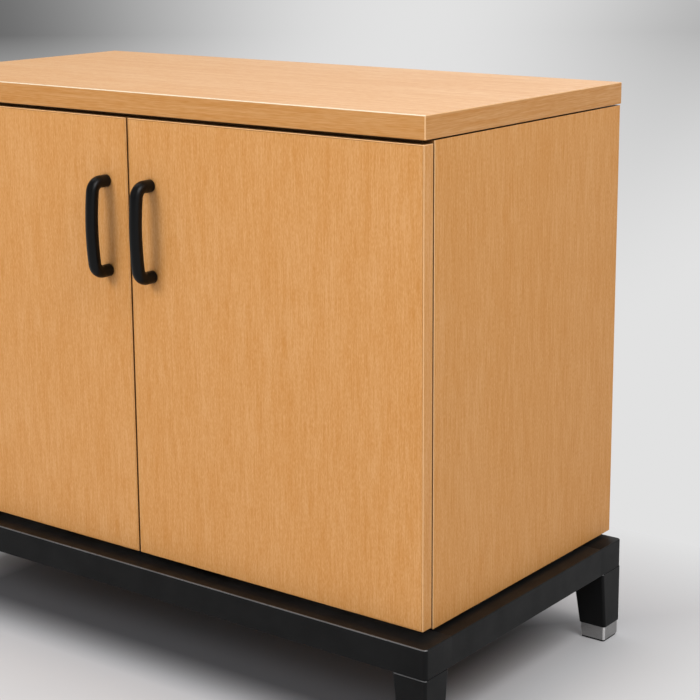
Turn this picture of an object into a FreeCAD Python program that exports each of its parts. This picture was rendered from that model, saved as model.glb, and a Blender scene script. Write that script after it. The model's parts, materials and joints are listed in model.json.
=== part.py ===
"""Two-door office credenza on a steel base frame, built as separate pieces.

Frame: +X to the right along the front, the doors face -Y, +Z up.
The origin lies on the floor, below the middle of the whole object.  Lengths are in millimetres.
"""
import FreeCAD, Part
import math
import os
import Sketcher
from FreeCAD import Placement, Rotation, Vector

doc = FreeCAD.newDocument("credenza")

# ---------------------------------------------------------------------------
# Driving sizes
# ---------------------------------------------------------------------------
SIZES = {
    # cupboard
    "case_width": 1000,           # over the side panels, also over the two doors
    "case_depth": 490,            # door faces to the back of the side panels
    "case_height": 638.5,         # side panels
    "board": 19,                  # side panels, bottom panel, top rails and shelf
    "edging": 2,                  # edge band on boards
    "arris_radius": 1,            # rounding of the edge bands
    "top_rail_depth": 90,
    "back_board": 8,
    "back_rebate": 10,            # how far the back panel reaches into each side panel
    "back_side_play": 0.5,
    "joint_dowel_inset": 60,      # bottom panel: dowels and cams from its front and back
    "joint_cam_inset": 100,
    "rail_dowel_inset": 20,       # top rails: dowel from the outer edge, cam from the inner edge
    "rail_cam_inset": 30,
    # worktop
    "worktop_thickness": 31,
    "worktop_overhang": 1.5,      # past the sides and the back
    "worktop_gap": 2,             # shadow gap over the side panels
    "worktop_arris": 1.5,
    "worktop_screw_inset": 60,    # outer screws to the side panels
    # doors
    "door_board": 20,
    "door_standoff": 3,           # door back to the front edges of the case
    "door_top_gap": 5.5,
    "door_bottom_rise": 3,        # above the underside of the case
    "door_middle_gap": 3,
    "bumper_diameter": 8,
    "bumper_play": 0.25,
    "bumper_inset": 22,           # to the middle of the case
    # shelf
    "shelf_play": 1,              # to each side panel
    "shelf_setback": 12,          # behind the front edges of the case
    "shelf_hole": 5,
    "shelf_hole_depth": 12,
    "shelf_hole_pitch": 32,
    "shelf_hole_rows": 7,
    "shelf_hole_inset": 37,       # first column, from the front edge of the side panel
    "shelf_hole_back_inset": 60,  # second column, from the back of the side panel
    "shelf_hole_start": 205,      # lowest row above the underside of the case
    "shelf_row": 3,               # row that carries the shelf, counted from 0
    "peg_play": 0.05,
    # base frame
    "base_gap": 5,                # packers between frame and case
    "rail_height": 42,
    "rail_width": 60,
    "rail_wall": 2.5,
    "base_front_ledge": 31,       # frame in front of the door faces
    "base_side_ledge": 26,
    "base_back_setback": 10,      # frame in front of the back of the case
    "base_corner": 6,
    "base_arris": 1.6,
    # legs
    "leg_height": 86,
    "leg_top": 53,
    "leg_bottom": 44,
    "leg_corner": 4,
    "leg_wall": 3,
    "leg_plate": 6,
    "leg_arris": 1.2,
    "leg_foot_arris": 1.4,
    "ferrule_side": 41,
    "ferrule_height": 20,
    "ferrule_wall": 2,
    "ferrule_corner": 3,
    "glide_side": 38,
    "glide_height": 3,
    "glide_plug": 14,             # plug height inside the leg
    "plug_play": 0.15,
    # handles
    "handle_centres": 128,
    "handle_diameter": 18,
    "handle_reach": 32,           # bar axis to door face at mid height
    "handle_bow": 3,
    "handle_bend": 15,
    "handle_inset": 40.5,         # posts to the meeting edge of the door
    "handle_drop": 91,            # upper post below the top of the door
    "handle_foot_arris": 1.5,     # rounding of the posts where they meet the door
    "handle_screw_bite": 10,
    # hinges
    "hinge_end_distance": 95,     # hinge centre to the top and bottom of the door
    "cup_diameter": 35,
    "cup_depth": 12.5,
    "cup_wall": 0.8,
    "cup_edge": 3,                # door edge to cup
    "cup_flange": 1,
    "cup_play": 0.05,
    "cup_screw_span": 45,
    "cup_screw_shift": 5.5,       # from the cup's centre to the side panel
    "cup_screw_bite": 9,
    "cup_ear_radius": 5,
    "pivot_inset": 6.8,           # pivot axis from the door edge
    "pivot_depth": 9,             # pivot axis below the back of the door
    "pivot_diameter": 2.5,
    "pivot_play": 0.05,
    "eye_radius": 2.4,
    "neck": 2.4,                  # thickness of the hinge arm's neck
    "arm_width": 7,
    "arm_side_play": 0.5,
    "arm_side_gap": 1,            # arm to the side panel
    "arm_length": 58,             # behind the door back
    "channel_width": 15,
    "plate_height": 3,
    "plate_rib": 2.5,
    "plate_inset": 37,            # plate screws from the front edge of the case
    "plate_length": 26,
    "plate_span": 32,             # between the two plate screws
    "plate_screw_bite": 12,
    "clamp_screw_length": 6,
    # fasteners
    "screw_shank": 4,
    "screw_head": 8,
    "screw_head_height": 2.5,
    "back_screw_bite": 11,
    "screw_play": 0.1,            # on the radius, in clearance holes
    "base_screw_shank": 5,
    "base_screw_head": 10,
    "base_screw_head_height": 4,
    "base_screw_bite": 14,        # into the bottom panel
    "base_screw_inset": 130,      # from the front and the back of the case
    "base_screw_side_inset": 9,   # to the side panels
    "worktop_screw_bite": 20,     # into the worktop
    "leg_bolt_shank": 10,
    "leg_bolt_flats": 17,
    "leg_bolt_head": 6.4,
    "leg_bolt_grip": 14,          # above the wall of the rail
    "dowel_diameter": 8,
    "dowel_in_side": 10,
    "dowel_in_board": 20,
    "cam_diameter": 15,
    "cam_depth": 12.5,
    "cam_inset": 34,              # cam centre from the end of the board
    "cam_bolt": 6,
    "cam_bolt_in_side": 11,
    "packer_diameter": 24,
    "base_packer_width": 30,
    "base_packer_length": 60,
}

# Places that follow from the driving sizes.
PLACES = {
    "half_width": "sizes.case_width / 2",
    "inner_width": "sizes.case_width - 2 * sizes.board",
    "door_width": "(sizes.case_width - sizes.door_middle_gap) / 2",
    "front_setback": "sizes.door_board + sizes.door_standoff",
    "side_depth": "sizes.case_depth - front_setback - sizes.edging",
    "board_depth": "side_depth - sizes.back_board",
    "handle_projection": "sizes.handle_reach + sizes.handle_diameter / 2",
    "door_face_y": "(handle_projection - sizes.case_depth - sizes.worktop_overhang) / 2",
    "case_front_y": "door_face_y + front_setback",
    "board_front_y": "case_front_y + sizes.edging",
    "case_back_y": "door_face_y + sizes.case_depth",
    "leg_bottom_z": "sizes.glide_height + sizes.ferrule_height",
    "rail_z": "leg_bottom_z + sizes.leg_height",
    "rail_top_z": "rail_z + sizes.rail_height",
    "case_z": "rail_top_z + sizes.base_gap",
    "case_top_z": "case_z + sizes.case_height",
    "worktop_z": "case_top_z + sizes.worktop_gap",
    "door_z": "case_z + sizes.door_bottom_rise",
    "door_height": "worktop_z - sizes.door_top_gap - door_z",
    "base_half_width": "half_width + sizes.base_side_ledge",
    "base_front_y": "door_face_y - sizes.base_front_ledge",
    "base_back_y": "case_back_y - sizes.base_back_setback",
    "base_inner_y": "base_front_y + sizes.rail_width",
    "base_inner_length": "base_back_y - base_front_y - 2 * sizes.rail_width",
    "shelf_z": "case_z + sizes.shelf_hole_start + sizes.shelf_row * sizes.shelf_hole_pitch"
               " + sizes.shelf_hole / 2",
    "grip_half": "sizes.handle_centres / 2 - sizes.handle_bend",
    "grip_radius": "(grip_half * grip_half + sizes.handle_bow * sizes.handle_bow) / (2 * sizes.handle_bow)",
    "handle_low": "door_height - sizes.handle_drop - sizes.handle_centres",
    "front_hole_y": "sizes.shelf_hole_inset - sizes.edging",
    "back_hole_y": "side_depth - sizes.shelf_hole_back_inset",
    "hinge_low": "sizes.hinge_end_distance",
    "hinge_high": "door_height - sizes.hinge_end_distance",
    "ferrule_inset": "(sizes.leg_bottom - sizes.ferrule_side) / 2",
    "glide_inset": "(sizes.leg_bottom - sizes.glide_side) / 2",
    "side_rail_middle": "base_half_width - sizes.rail_width / 2",
    "base_screw_x": "half_width - sizes.board - sizes.base_screw_side_inset",
    "base_screw_front_y": "case_front_y + sizes.base_screw_inset",
    "base_screw_back_y": "case_back_y - sizes.base_screw_inset",
    "worktop_screw_front_y": "board_front_y + sizes.top_rail_depth / 2",
    "worktop_screw_back_y": "case_back_y - sizes.back_board - sizes.top_rail_depth / 2",
    "worktop_screw_x": "half_width - sizes.board - sizes.worktop_screw_inset",
    "cup_radius": "sizes.cup_diameter / 2",
    "cup_x": "sizes.board - sizes.cup_edge - cup_radius",
    "pivot_x": "sizes.board - sizes.pivot_inset",
    "plate_middle": "sizes.plate_inset + sizes.door_standoff",
    "plate_start": "plate_middle - sizes.plate_length / 2",
}


def fill_sheet(name, rows, as_formula):
    """One spreadsheet: names in column A, values with an alias in column B."""
    sheet = doc.addObject("Spreadsheet::Sheet", name)
    for number, (alias, content) in enumerate(rows.items(), start=1):
        sheet.set(f"A{number}", alias)
        sheet.setAlias(f"B{number}", alias)
        sheet.set(f"B{number}", f"={content}" if as_formula else str(content))
    doc.recompute()
    return sheet


sizes = fill_sheet("sizes", SIZES, as_formula=False)
places = fill_sheet("places", PLACES, as_formula=True)


def value(expression):
    """Present value of an expression on the sheets."""
    return float(sizes.evalExpression(str(expression)))


# ---------------------------------------------------------------------------
# Modelling helpers
# ---------------------------------------------------------------------------
def new_body(label, x="0", y="0", z="0"):
    """A body whose origin is bound to the sheets."""
    body = doc.addObject("PartDesign::Body", label)
    body.Label = label
    for axis, expression in zip("xyz", (x, y, z)):
        body.setExpression(f"Placement.Base.{axis}", str(expression))
    return body


def new_sketch(body, name, plane, offset="0"):
    """A sketch on one of the body's origin planes, moved along its normal."""
    sketch = body.newObject("Sketcher::SketchObject", name)
    for feature in body.Origin.OriginFeatures:
        if feature.Role == plane:
            sketch.AttachmentSupport = [(feature, "")]
    sketch.MapMode = "FlatFace"
    sketch.setExpression("AttachmentOffset.Base.z", str(offset))
    return sketch


def bind(sketch, kind, *where, to):
    """A dimension of the sketch, driven by an expression."""
    index = sketch.addConstraint(Sketcher.Constraint(kind, *where, value(to)))
    sketch.setExpression(f"Constraints[{index}]", str(to))


def pin_point(sketch, geometry, point, x, y):
    bind(sketch, "DistanceX", -1, 1, geometry, point, to=x)
    bind(sketch, "DistanceY", -1, 1, geometry, point, to=y)


def add_line(sketch, start, end):
    edge = Part.LineSegment(Vector(*start, 0), Vector(*end, 0))
    return sketch.addGeometry(edge, False)


def add_polygon(sketch, corners):
    """Closed outline whose every corner is bound to a pair of expressions."""
    points = [(value(x), value(y)) for x, y in corners]
    count = len(points)
    lines = [add_line(sketch, points[i], points[(i + 1) % count]) for i in range(count)]
    for i in range(count):
        sketch.addConstraint(Sketcher.Constraint("Coincident", lines[i], 2, lines[(i + 1) % count], 1))
    for line, (x, y) in zip(lines, corners):
        pin_point(sketch, line, 1, x, y)


def add_rectangle(sketch, x, y, width, height):
    """Rectangle with its low corner at x, y."""
    left, low = value(x), value(y)
    right, high = left + value(width), low + value(height)
    corners = [(left, low), (right, low), (right, high), (left, high)]
    lines = [add_line(sketch, corners[i], corners[(i + 1) % 4]) for i in range(4)]
    for i in range(4):
        sketch.addConstraint(Sketcher.Constraint("Coincident", lines[i], 2, lines[(i + 1) % 4], 1))
    for i in (0, 2):
        sketch.addConstraint(Sketcher.Constraint("Horizontal", lines[i]))
        sketch.addConstraint(Sketcher.Constraint("Vertical", lines[i + 1]))
    pin_point(sketch, lines[0], 1, x, y)
    bind(sketch, "DistanceX", lines[0], 1, lines[0], 2, to=width)
    bind(sketch, "DistanceY", lines[1], 1, lines[1], 2, to=height)


def add_rounded_square(sketch, x, y, side, radius):
    """Square with equal corner arcs and its low corner at x, y."""
    low_x, low_y, length, bend = value(x), value(y), value(side), value(radius)
    turns = [(length - bend, bend, -90), (length - bend, length - bend, 0),
             (bend, length - bend, 90), (bend, bend, 180)]
    arcs = []
    for centre_x, centre_y, start in turns:
        circle = Part.Circle(Vector(low_x + centre_x, low_y + centre_y, 0), Vector(0, 0, 1), bend)
        arc = Part.ArcOfCircle(circle, math.radians(start), math.radians(start + 90))
        arcs.append(sketch.addGeometry(arc, False))
    for i in range(4):
        arc, following = arcs[i], arcs[(i + 1) % 4]
        start = sketch.getPoint(arc, 2)
        end = sketch.getPoint(following, 1)
        line = add_line(sketch, (start.x, start.y), (end.x, end.y))
        sketch.addConstraint(Sketcher.Constraint("Tangent", arc, 2, line, 1))
        sketch.addConstraint(Sketcher.Constraint("Tangent", line, 2, following, 1))
        sketch.addConstraint(Sketcher.Constraint("Horizontal" if i % 2 else "Vertical", line))
    for arc in arcs[1:]:
        sketch.addConstraint(Sketcher.Constraint("Equal", arcs[0], arc))
    bind(sketch, "Radius", arcs[0], to=radius)
    pin_point(sketch, arcs[3], 3, f"{x} + {radius}", f"{y} + {radius}")
    pin_point(sketch, arcs[1], 3, f"{x} + {side} - {radius}", f"{y} + {side} - {radius}")


def add_circle(sketch, x, y, diameter):
    circle = Part.Circle(Vector(value(x), value(y), 0), Vector(0, 0, 1), value(diameter) / 2)
    geometry = sketch.addGeometry(circle, False)
    pin_point(sketch, geometry, 3, x, y)
    bind(sketch, "Diameter", geometry, to=diameter)


def pad(body, name, sketch, length, back=False, both=False):
    feature = body.newObject("PartDesign::Pad", name)
    feature.Profile = sketch
    feature.setExpression("Length", str(length))
    feature.Reversed = back
    feature.Midplane = both
    doc.recompute()
    return feature


def pocket(body, name, sketch, length, back=False, both=False):
    """A cut that has to take material away."""
    before = body.Shape.Volume
    feature = body.newObject("PartDesign::Pocket", name)
    feature.Profile = sketch
    feature.setExpression("Length", str(length))
    feature.Reversed = back
    feature.Midplane = both
    doc.recompute()
    if not body.Shape.Volume < before:
        raise RuntimeError(f"{body.Label}: {name} cuts nothing")
    return feature


def board_box(body, width, depth, height):
    """Plain board from the body's origin towards +X, +Y and +Z."""
    sketch = new_sketch(body, "outline", "XY_Plane")
    add_rectangle(sketch, "0", "0", width, depth)
    pad(body, "thickness", sketch, height)


def drill(body, name, plane, offset, centres, diameter, depth, back=False):
    """Round holes from a plane; back=True cuts along the plane's own normal."""
    sketch = new_sketch(body, name + "_centres", plane, offset)
    for x, y in centres:
        add_circle(sketch, x, y, diameter)
    return pocket(body, name, sketch, depth, back)


def round_edges(body, name, radius, wanted):
    """Fillet the edges that the test picks."""
    base = body.Tip
    picked = [f"Edge{i}" for i, edge in enumerate(base.Shape.Edges, start=1) if wanted(edge)]
    feature = body.newObject("PartDesign::Fillet", name)
    feature.Base = (base, picked)
    feature.setExpression("Radius", str(radius))
    doc.recompute()
    return feature


def near(a, b):
    return abs(a - b) < 1e-4


def flat_at(box, axis, level):
    """True for a bounding box that is flat along the axis at that level."""
    low = getattr(box, axis + "Min")
    high = getattr(box, axis + "Max")
    return near(low, level) and near(high, level)


def group(label, *batches):
    """Copies of finished pieces as one group of separate solids; a batch is a piece and its spots."""
    copies = []
    for master, spots in batches:
        for place in spots:
            copy = master.Shape.copy()
            copy.Placement = place.multiply(master.Placement)
            copies.append(copy)
    feature = doc.addObject("Part::Feature", label)
    feature.Label = label
    feature.Shape = Part.makeCompound(copies)
    feature.Placement = Placement()
    return feature


def spot(x, y, z, axis=(0, 0, 1), angle=0):
    return Placement(Vector(value(x), value(y), value(z)), Rotation(Vector(*axis), angle))


NODES = []


def node(feature):
    NODES.append(feature)
    return feature


SIDES = {"left": -1, "right": 1}

# ---------------------------------------------------------------------------
# Worktop
# ---------------------------------------------------------------------------
WORKTOP_SCREWS = [(f"{sign} * places.worktop_screw_x * {share}", y)
                  for y in ("places.worktop_screw_front_y", "places.worktop_screw_back_y")
                  for sign, share in ((-1, 1), (1, 0), (1, 1))]


def make_worktop():
    width = "(sizes.case_width + 2 * sizes.worktop_overhang)"
    depth = "(sizes.case_depth + sizes.worktop_overhang)"
    core_width = f"{width} - 2 * sizes.edging"
    core_depth = f"{depth} - 2 * sizes.edging"
    panel = new_body("worktop_panel", f"-({core_width}) / 2", "places.door_face_y + sizes.edging",
                     "places.worktop_z")
    board_box(panel, core_width, core_depth, "sizes.worktop_thickness")
    centres = [(f"{x} + ({core_width}) / 2", f"{y} - places.door_face_y - sizes.edging")
               for x, y in WORKTOP_SCREWS]
    drill(panel, "pilot_holes", "XY_Plane", "0", centres, "sizes.screw_shank + 2 * sizes.peg_play",
          "sizes.worktop_screw_bite + 1", back=True)
    node(panel)

    band = new_body("worktop_edging", f"-{width} / 2", "places.door_face_y", "places.worktop_z")
    sketch = new_sketch(band, "outline", "XY_Plane")
    add_rectangle(sketch, "0", "0", width, depth)
    add_rectangle(sketch, "sizes.edging", "sizes.edging", core_width, core_depth)
    pad(band, "height", sketch, "sizes.worktop_thickness")
    inner = value("sizes.edging")
    wide, deep, tall = value(width), value(depth), value("sizes.worktop_thickness")

    def outside(edge):
        box = edge.BoundBox
        x_out = flat_at(box, "X", 0) or flat_at(box, "X", wide)
        y_out = flat_at(box, "Y", 0) or flat_at(box, "Y", deep)
        z_out = flat_at(box, "Z", 0) or flat_at(box, "Z", tall)
        return [x_out, y_out, z_out].count(True) >= 2 and inner > 0

    round_edges(band, "arris", "sizes.worktop_arris", outside)
    node(band)

    packer = new_body("packer")
    sketch = new_sketch(packer, "outline", "XY_Plane")
    add_circle(sketch, "0", "0", "sizes.packer_diameter")
    add_circle(sketch, "0", "0", "sizes.screw_shank + 2 * sizes.screw_play")
    pad(packer, "thickness", sketch, "sizes.worktop_gap")
    node(group("worktop_packers", (packer, [spot(x, y, "places.case_top_z") for x, y in WORKTOP_SCREWS])))

    screw = make_screw("worktop_screw", "sizes.screw_shank", "sizes.screw_head", "sizes.screw_head_height",
                       "sizes.board + sizes.worktop_gap + sizes.worktop_screw_bite")
    under_rail = "places.case_top_z - sizes.board"
    node(group("worktop_screws", (screw, [spot(x, y, under_rail) for x, y in WORKTOP_SCREWS])))


def make_screw(label, shank, head, head_height, length):
    """Pan head below the origin, shank upwards along +Z."""
    screw = new_body(label)
    sketch = new_sketch(screw, "half_section", "XZ_Plane")
    crown = f"{head} * 0.32"
    add_polygon(sketch, [
        ("0", f"-{head_height}"), (crown, f"-{head_height}"), (f"{head} / 2", f"-{head_height} * 0.45"),
        (f"{head} / 2", "0"), (f"{shank} / 2", "0"), (f"{shank} / 2", f"{length} - {shank} / 2"),
        (f"{shank} / 5", length), ("0", length)])
    turn = screw.newObject("PartDesign::Revolution", "turning")
    turn.Profile = sketch
    turn.ReferenceAxis = (sketch, ["V_Axis"])
    turn.Angle = 360
    doc.recompute()
    return screw


# ---------------------------------------------------------------------------
# Case
# ---------------------------------------------------------------------------
# Joints of the boards with the side panels: places along Y, from the front of the side board.
BOTTOM_DOWELS = ("sizes.joint_dowel_inset", "places.board_depth - sizes.joint_dowel_inset")
BOTTOM_CAMS = ("sizes.joint_cam_inset", "places.board_depth - sizes.joint_cam_inset")
FRONT_RAIL_DOWELS = ("sizes.rail_dowel_inset",)
FRONT_RAIL_CAMS = ("sizes.top_rail_depth - sizes.rail_cam_inset",)
BACK_RAIL_DOWELS = ("places.board_depth - sizes.rail_dowel_inset",)
BACK_RAIL_CAMS = ("places.board_depth - sizes.top_rail_depth + sizes.rail_cam_inset",)
MIDDLE_OF_BOTTOM = "sizes.board / 2"
MIDDLE_OF_RAIL = "sizes.case_height - sizes.board / 2"
JOINTS = [(BOTTOM_DOWELS, BOTTOM_CAMS, MIDDLE_OF_BOTTOM),
          (FRONT_RAIL_DOWELS, FRONT_RAIL_CAMS, MIDDLE_OF_RAIL),
          (BACK_RAIL_DOWELS, BACK_RAIL_CAMS, MIDDLE_OF_RAIL)]
HINGE_HEIGHTS = [f"places.{level} + sizes.door_bottom_rise" for level in ("hinge_low", "hinge_high")]
PLATE_SCREWS = [f"{height} + {sign} * sizes.plate_span / 2" for height in HINGE_HEIGHTS for sign in (-1, 1)]


def drill_back_edge(body, centres, y):
    """Pilot holes for the back panel's screws, from the plane at y forwards."""
    drill(body, "back_screw_holes", "XZ_Plane", f"-({y})", centres, "sizes.screw_shank + 2 * sizes.peg_play",
          "sizes.back_screw_bite + 1", back=True)


def make_side(side, sign):
    """Side panel: line-bored on its inner face, rebated at the back for the back panel."""
    left = "-places.half_width" if sign < 0 else "places.half_width - sizes.board"
    panel = new_body(f"side_panel_{side}", left, "places.board_front_y", "places.case_z")
    board_box(panel, "sizes.board", "places.side_depth", "sizes.case_height")
    inner_face = "sizes.board" if sign < 0 else "0"
    from_right = sign > 0

    rebate = new_sketch(panel, "rebate_outline", "XY_Plane")
    rebate_x = "sizes.board - sizes.back_rebate" if sign < 0 else "0"
    add_rectangle(rebate, rebate_x, "places.board_depth", "sizes.back_rebate", "sizes.back_board")
    pocket(panel, "rebate", rebate, "sizes.case_height", back=True)

    rows = new_sketch(panel, "first_row", "YZ_Plane", inner_face)
    for column in ("places.front_hole_y", "places.back_hole_y"):
        add_circle(rows, column, "sizes.shelf_hole_start", "sizes.shelf_hole")
    first = pocket(panel, "shelf_holes", rows, "sizes.shelf_hole_depth", back=from_right)
    pattern = panel.newObject("PartDesign::LinearPattern", "line_boring")
    pattern.Originals = [first]
    pattern.Direction = (rows, ["V_Axis"])
    pattern.setExpression("Length", "(sizes.shelf_hole_rows - 1) * sizes.shelf_hole_pitch")
    pattern.setExpression("Occurrences", "sizes.shelf_hole_rows")
    panel.Tip = pattern
    doc.recompute()

    dowels = [(y, z) for along, _, z in JOINTS for y in along]
    cams = [(y, z) for _, along, z in JOINTS for y in along]
    drill(panel, "dowel_holes", "YZ_Plane", inner_face, dowels, "sizes.dowel_diameter + 2 * sizes.peg_play",
          "sizes.dowel_in_side + 0.5", back=from_right)
    drill(panel, "cam_bolt_holes", "YZ_Plane", inner_face, cams, "sizes.cam_bolt + 2 * sizes.peg_play",
          "sizes.cam_bolt_in_side + 0.5", back=from_right)
    plates = [("sizes.plate_inset - sizes.edging", z) for z in PLATE_SCREWS]
    drill(panel, "plate_screw_holes", "YZ_Plane", inner_face, plates, "sizes.screw_shank + 2 * sizes.peg_play",
          "sizes.plate_screw_bite + 1", back=from_right)
    from_left = f"{sign} * {REBATE_MIDDLE} - ({left})"
    drill_back_edge(panel, [(from_left, z) for z in BACK_SCREWS_DOWN], "places.board_depth")
    node(panel)

    strip = new_body(f"side_edging_{side}", left, "places.case_front_y", "places.case_z")
    board_box(strip, "sizes.board", "sizes.edging", "sizes.case_height")
    wide = value("sizes.board")
    round_edges(strip, "arris", "sizes.arris_radius",
                lambda edge: flat_at(edge.BoundBox, "Y", 0)
                and (flat_at(edge.BoundBox, "X", 0) or flat_at(edge.BoundBox, "X", wide)))
    node(strip)


def make_cross_board(label, y, z, depth, dowels, cams, cam_from_top=False):
    """Board between the side panels, bored for dowels and cam locks at both ends."""
    board = new_body(label, "-places.inner_width / 2", y, z)
    board_box(board, "places.inner_width", depth, "sizes.board")
    offset = f"{y} - places.board_front_y"
    for end, plane_at, inwards in (("left", "0", True), ("right", "places.inner_width", False)):
        centres = [(f"{along} - ({offset})", "sizes.board / 2") for along in dowels]
        drill(board, f"dowel_holes_{end}", "YZ_Plane", plane_at, centres,
              "sizes.dowel_diameter + 2 * sizes.peg_play", "sizes.dowel_in_board + 0.5", back=inwards)
        centres = [(f"{along} - ({offset})", "sizes.board / 2") for along in cams]
        drill(board, f"bolt_holes_{end}", "YZ_Plane", plane_at, centres, "sizes.cam_bolt + 1",
              "sizes.cam_inset", back=inwards)
    centres = [(x, f"{along} - ({offset})") for along in cams
               for x in ("sizes.cam_inset", "places.inner_width - sizes.cam_inset")]
    drill(board, "cam_holes", "XY_Plane", "0", centres, "sizes.cam_diameter + 0.2",
          "sizes.cam_depth", back=True)
    return board


def make_case():
    for side, sign in SIDES.items():
        make_side(side, sign)

    bottom = make_cross_board("bottom_panel", "places.board_front_y", "places.case_z", "places.board_depth",
                              BOTTOM_DOWELS, BOTTOM_CAMS)
    centres = [(f"{x} + places.inner_width / 2", f"{y} - places.board_front_y") for x, y in BASE_SCREWS]
    drill(bottom, "base_screw_holes", "XY_Plane", "0", centres,
          "sizes.base_screw_shank + 2 * sizes.peg_play", "sizes.base_screw_bite + 0.5", back=True)
    back_centres = [(f"{x} + places.inner_width / 2", "sizes.board / 2") for x in BACK_SCREWS_ACROSS]
    drill_back_edge(bottom, back_centres, "places.board_depth")
    node(bottom)

    rail_z = "places.case_top_z - sizes.board"
    rails = {"front_rail": ("places.board_front_y", FRONT_RAIL_DOWELS, FRONT_RAIL_CAMS,
                            "places.worktop_screw_front_y"),
             "back_rail": ("places.case_back_y - sizes.back_board - sizes.top_rail_depth", BACK_RAIL_DOWELS,
                           BACK_RAIL_CAMS, "places.worktop_screw_back_y")}
    for label, (y, dowels, cams, screw_y) in rails.items():
        rail = make_cross_board(label, y, rail_z, "sizes.top_rail_depth", dowels, cams)
        centres = [(f"{x} + places.inner_width / 2", f"{line} - ({y})") for x, line in WORKTOP_SCREWS
                   if line == screw_y]
        drill(rail, "worktop_screw_holes", "XY_Plane", "0", centres,
              "sizes.screw_shank + 2 * sizes.screw_play", "sizes.board", back=True)
        if label == "back_rail":
            drill_back_edge(rail, back_centres, "sizes.top_rail_depth")
        node(rail)

    for label, z in (("bottom_edging", "places.case_z"), ("rail_edging", rail_z)):
        strip = new_body(label, "-places.inner_width / 2", "places.case_front_y", z)
        board_box(strip, "places.inner_width", "sizes.edging", "sizes.board")
        tall = value("sizes.board")
        round_edges(strip, "arris", "sizes.arris_radius",
                    lambda edge: flat_at(edge.BoundBox, "Y", 0)
                    and (flat_at(edge.BoundBox, "Z", 0) or flat_at(edge.BoundBox, "Z", tall)))
        node(strip)

    make_back_panel()
    make_case_fittings()


BACK_SCREWS_ACROSS = [f"{share} * places.half_width" for share in (-0.8, -0.27, 0.27, 0.8)]
BACK_SCREWS_DOWN = [f"{share} * sizes.case_height" for share in (0.2, 0.5, 0.8)]
REBATE_MIDDLE = "(places.half_width - sizes.board + sizes.back_rebate / 2)"
BACK_SCREWS = [(x, z) for x in BACK_SCREWS_ACROSS for z in (MIDDLE_OF_BOTTOM, MIDDLE_OF_RAIL)]
BACK_SCREWS += [(f"{sign} * {REBATE_MIDDLE}", z) for sign in (-1, 1) for z in BACK_SCREWS_DOWN]


def make_back_panel():
    width = "(places.inner_width + 2 * sizes.back_rebate - 2 * sizes.back_side_play)"
    panel = new_body("back_panel", f"-{width} / 2", "places.case_back_y - sizes.back_board", "places.case_z")
    board_box(panel, width, "sizes.back_board", "sizes.case_height")
    centres = [(f"{x} + {width} / 2", z) for x, z in BACK_SCREWS]
    drill(panel, "screw_holes", "XZ_Plane", "0", centres, "sizes.screw_shank + 2 * sizes.screw_play",
          "sizes.back_board", back=False)
    node(panel)

    screw = make_screw("back_panel_screw", "sizes.screw_shank", "sizes.screw_head",
                       "sizes.screw_head_height / 2", "sizes.back_board + sizes.back_screw_bite")
    spots = [spot(x, "places.case_back_y", f"places.case_z + {z}", (1, 0, 0), 90) for x, z in BACK_SCREWS]
    node(group("back_panel_screws", (screw, spots)))


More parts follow.
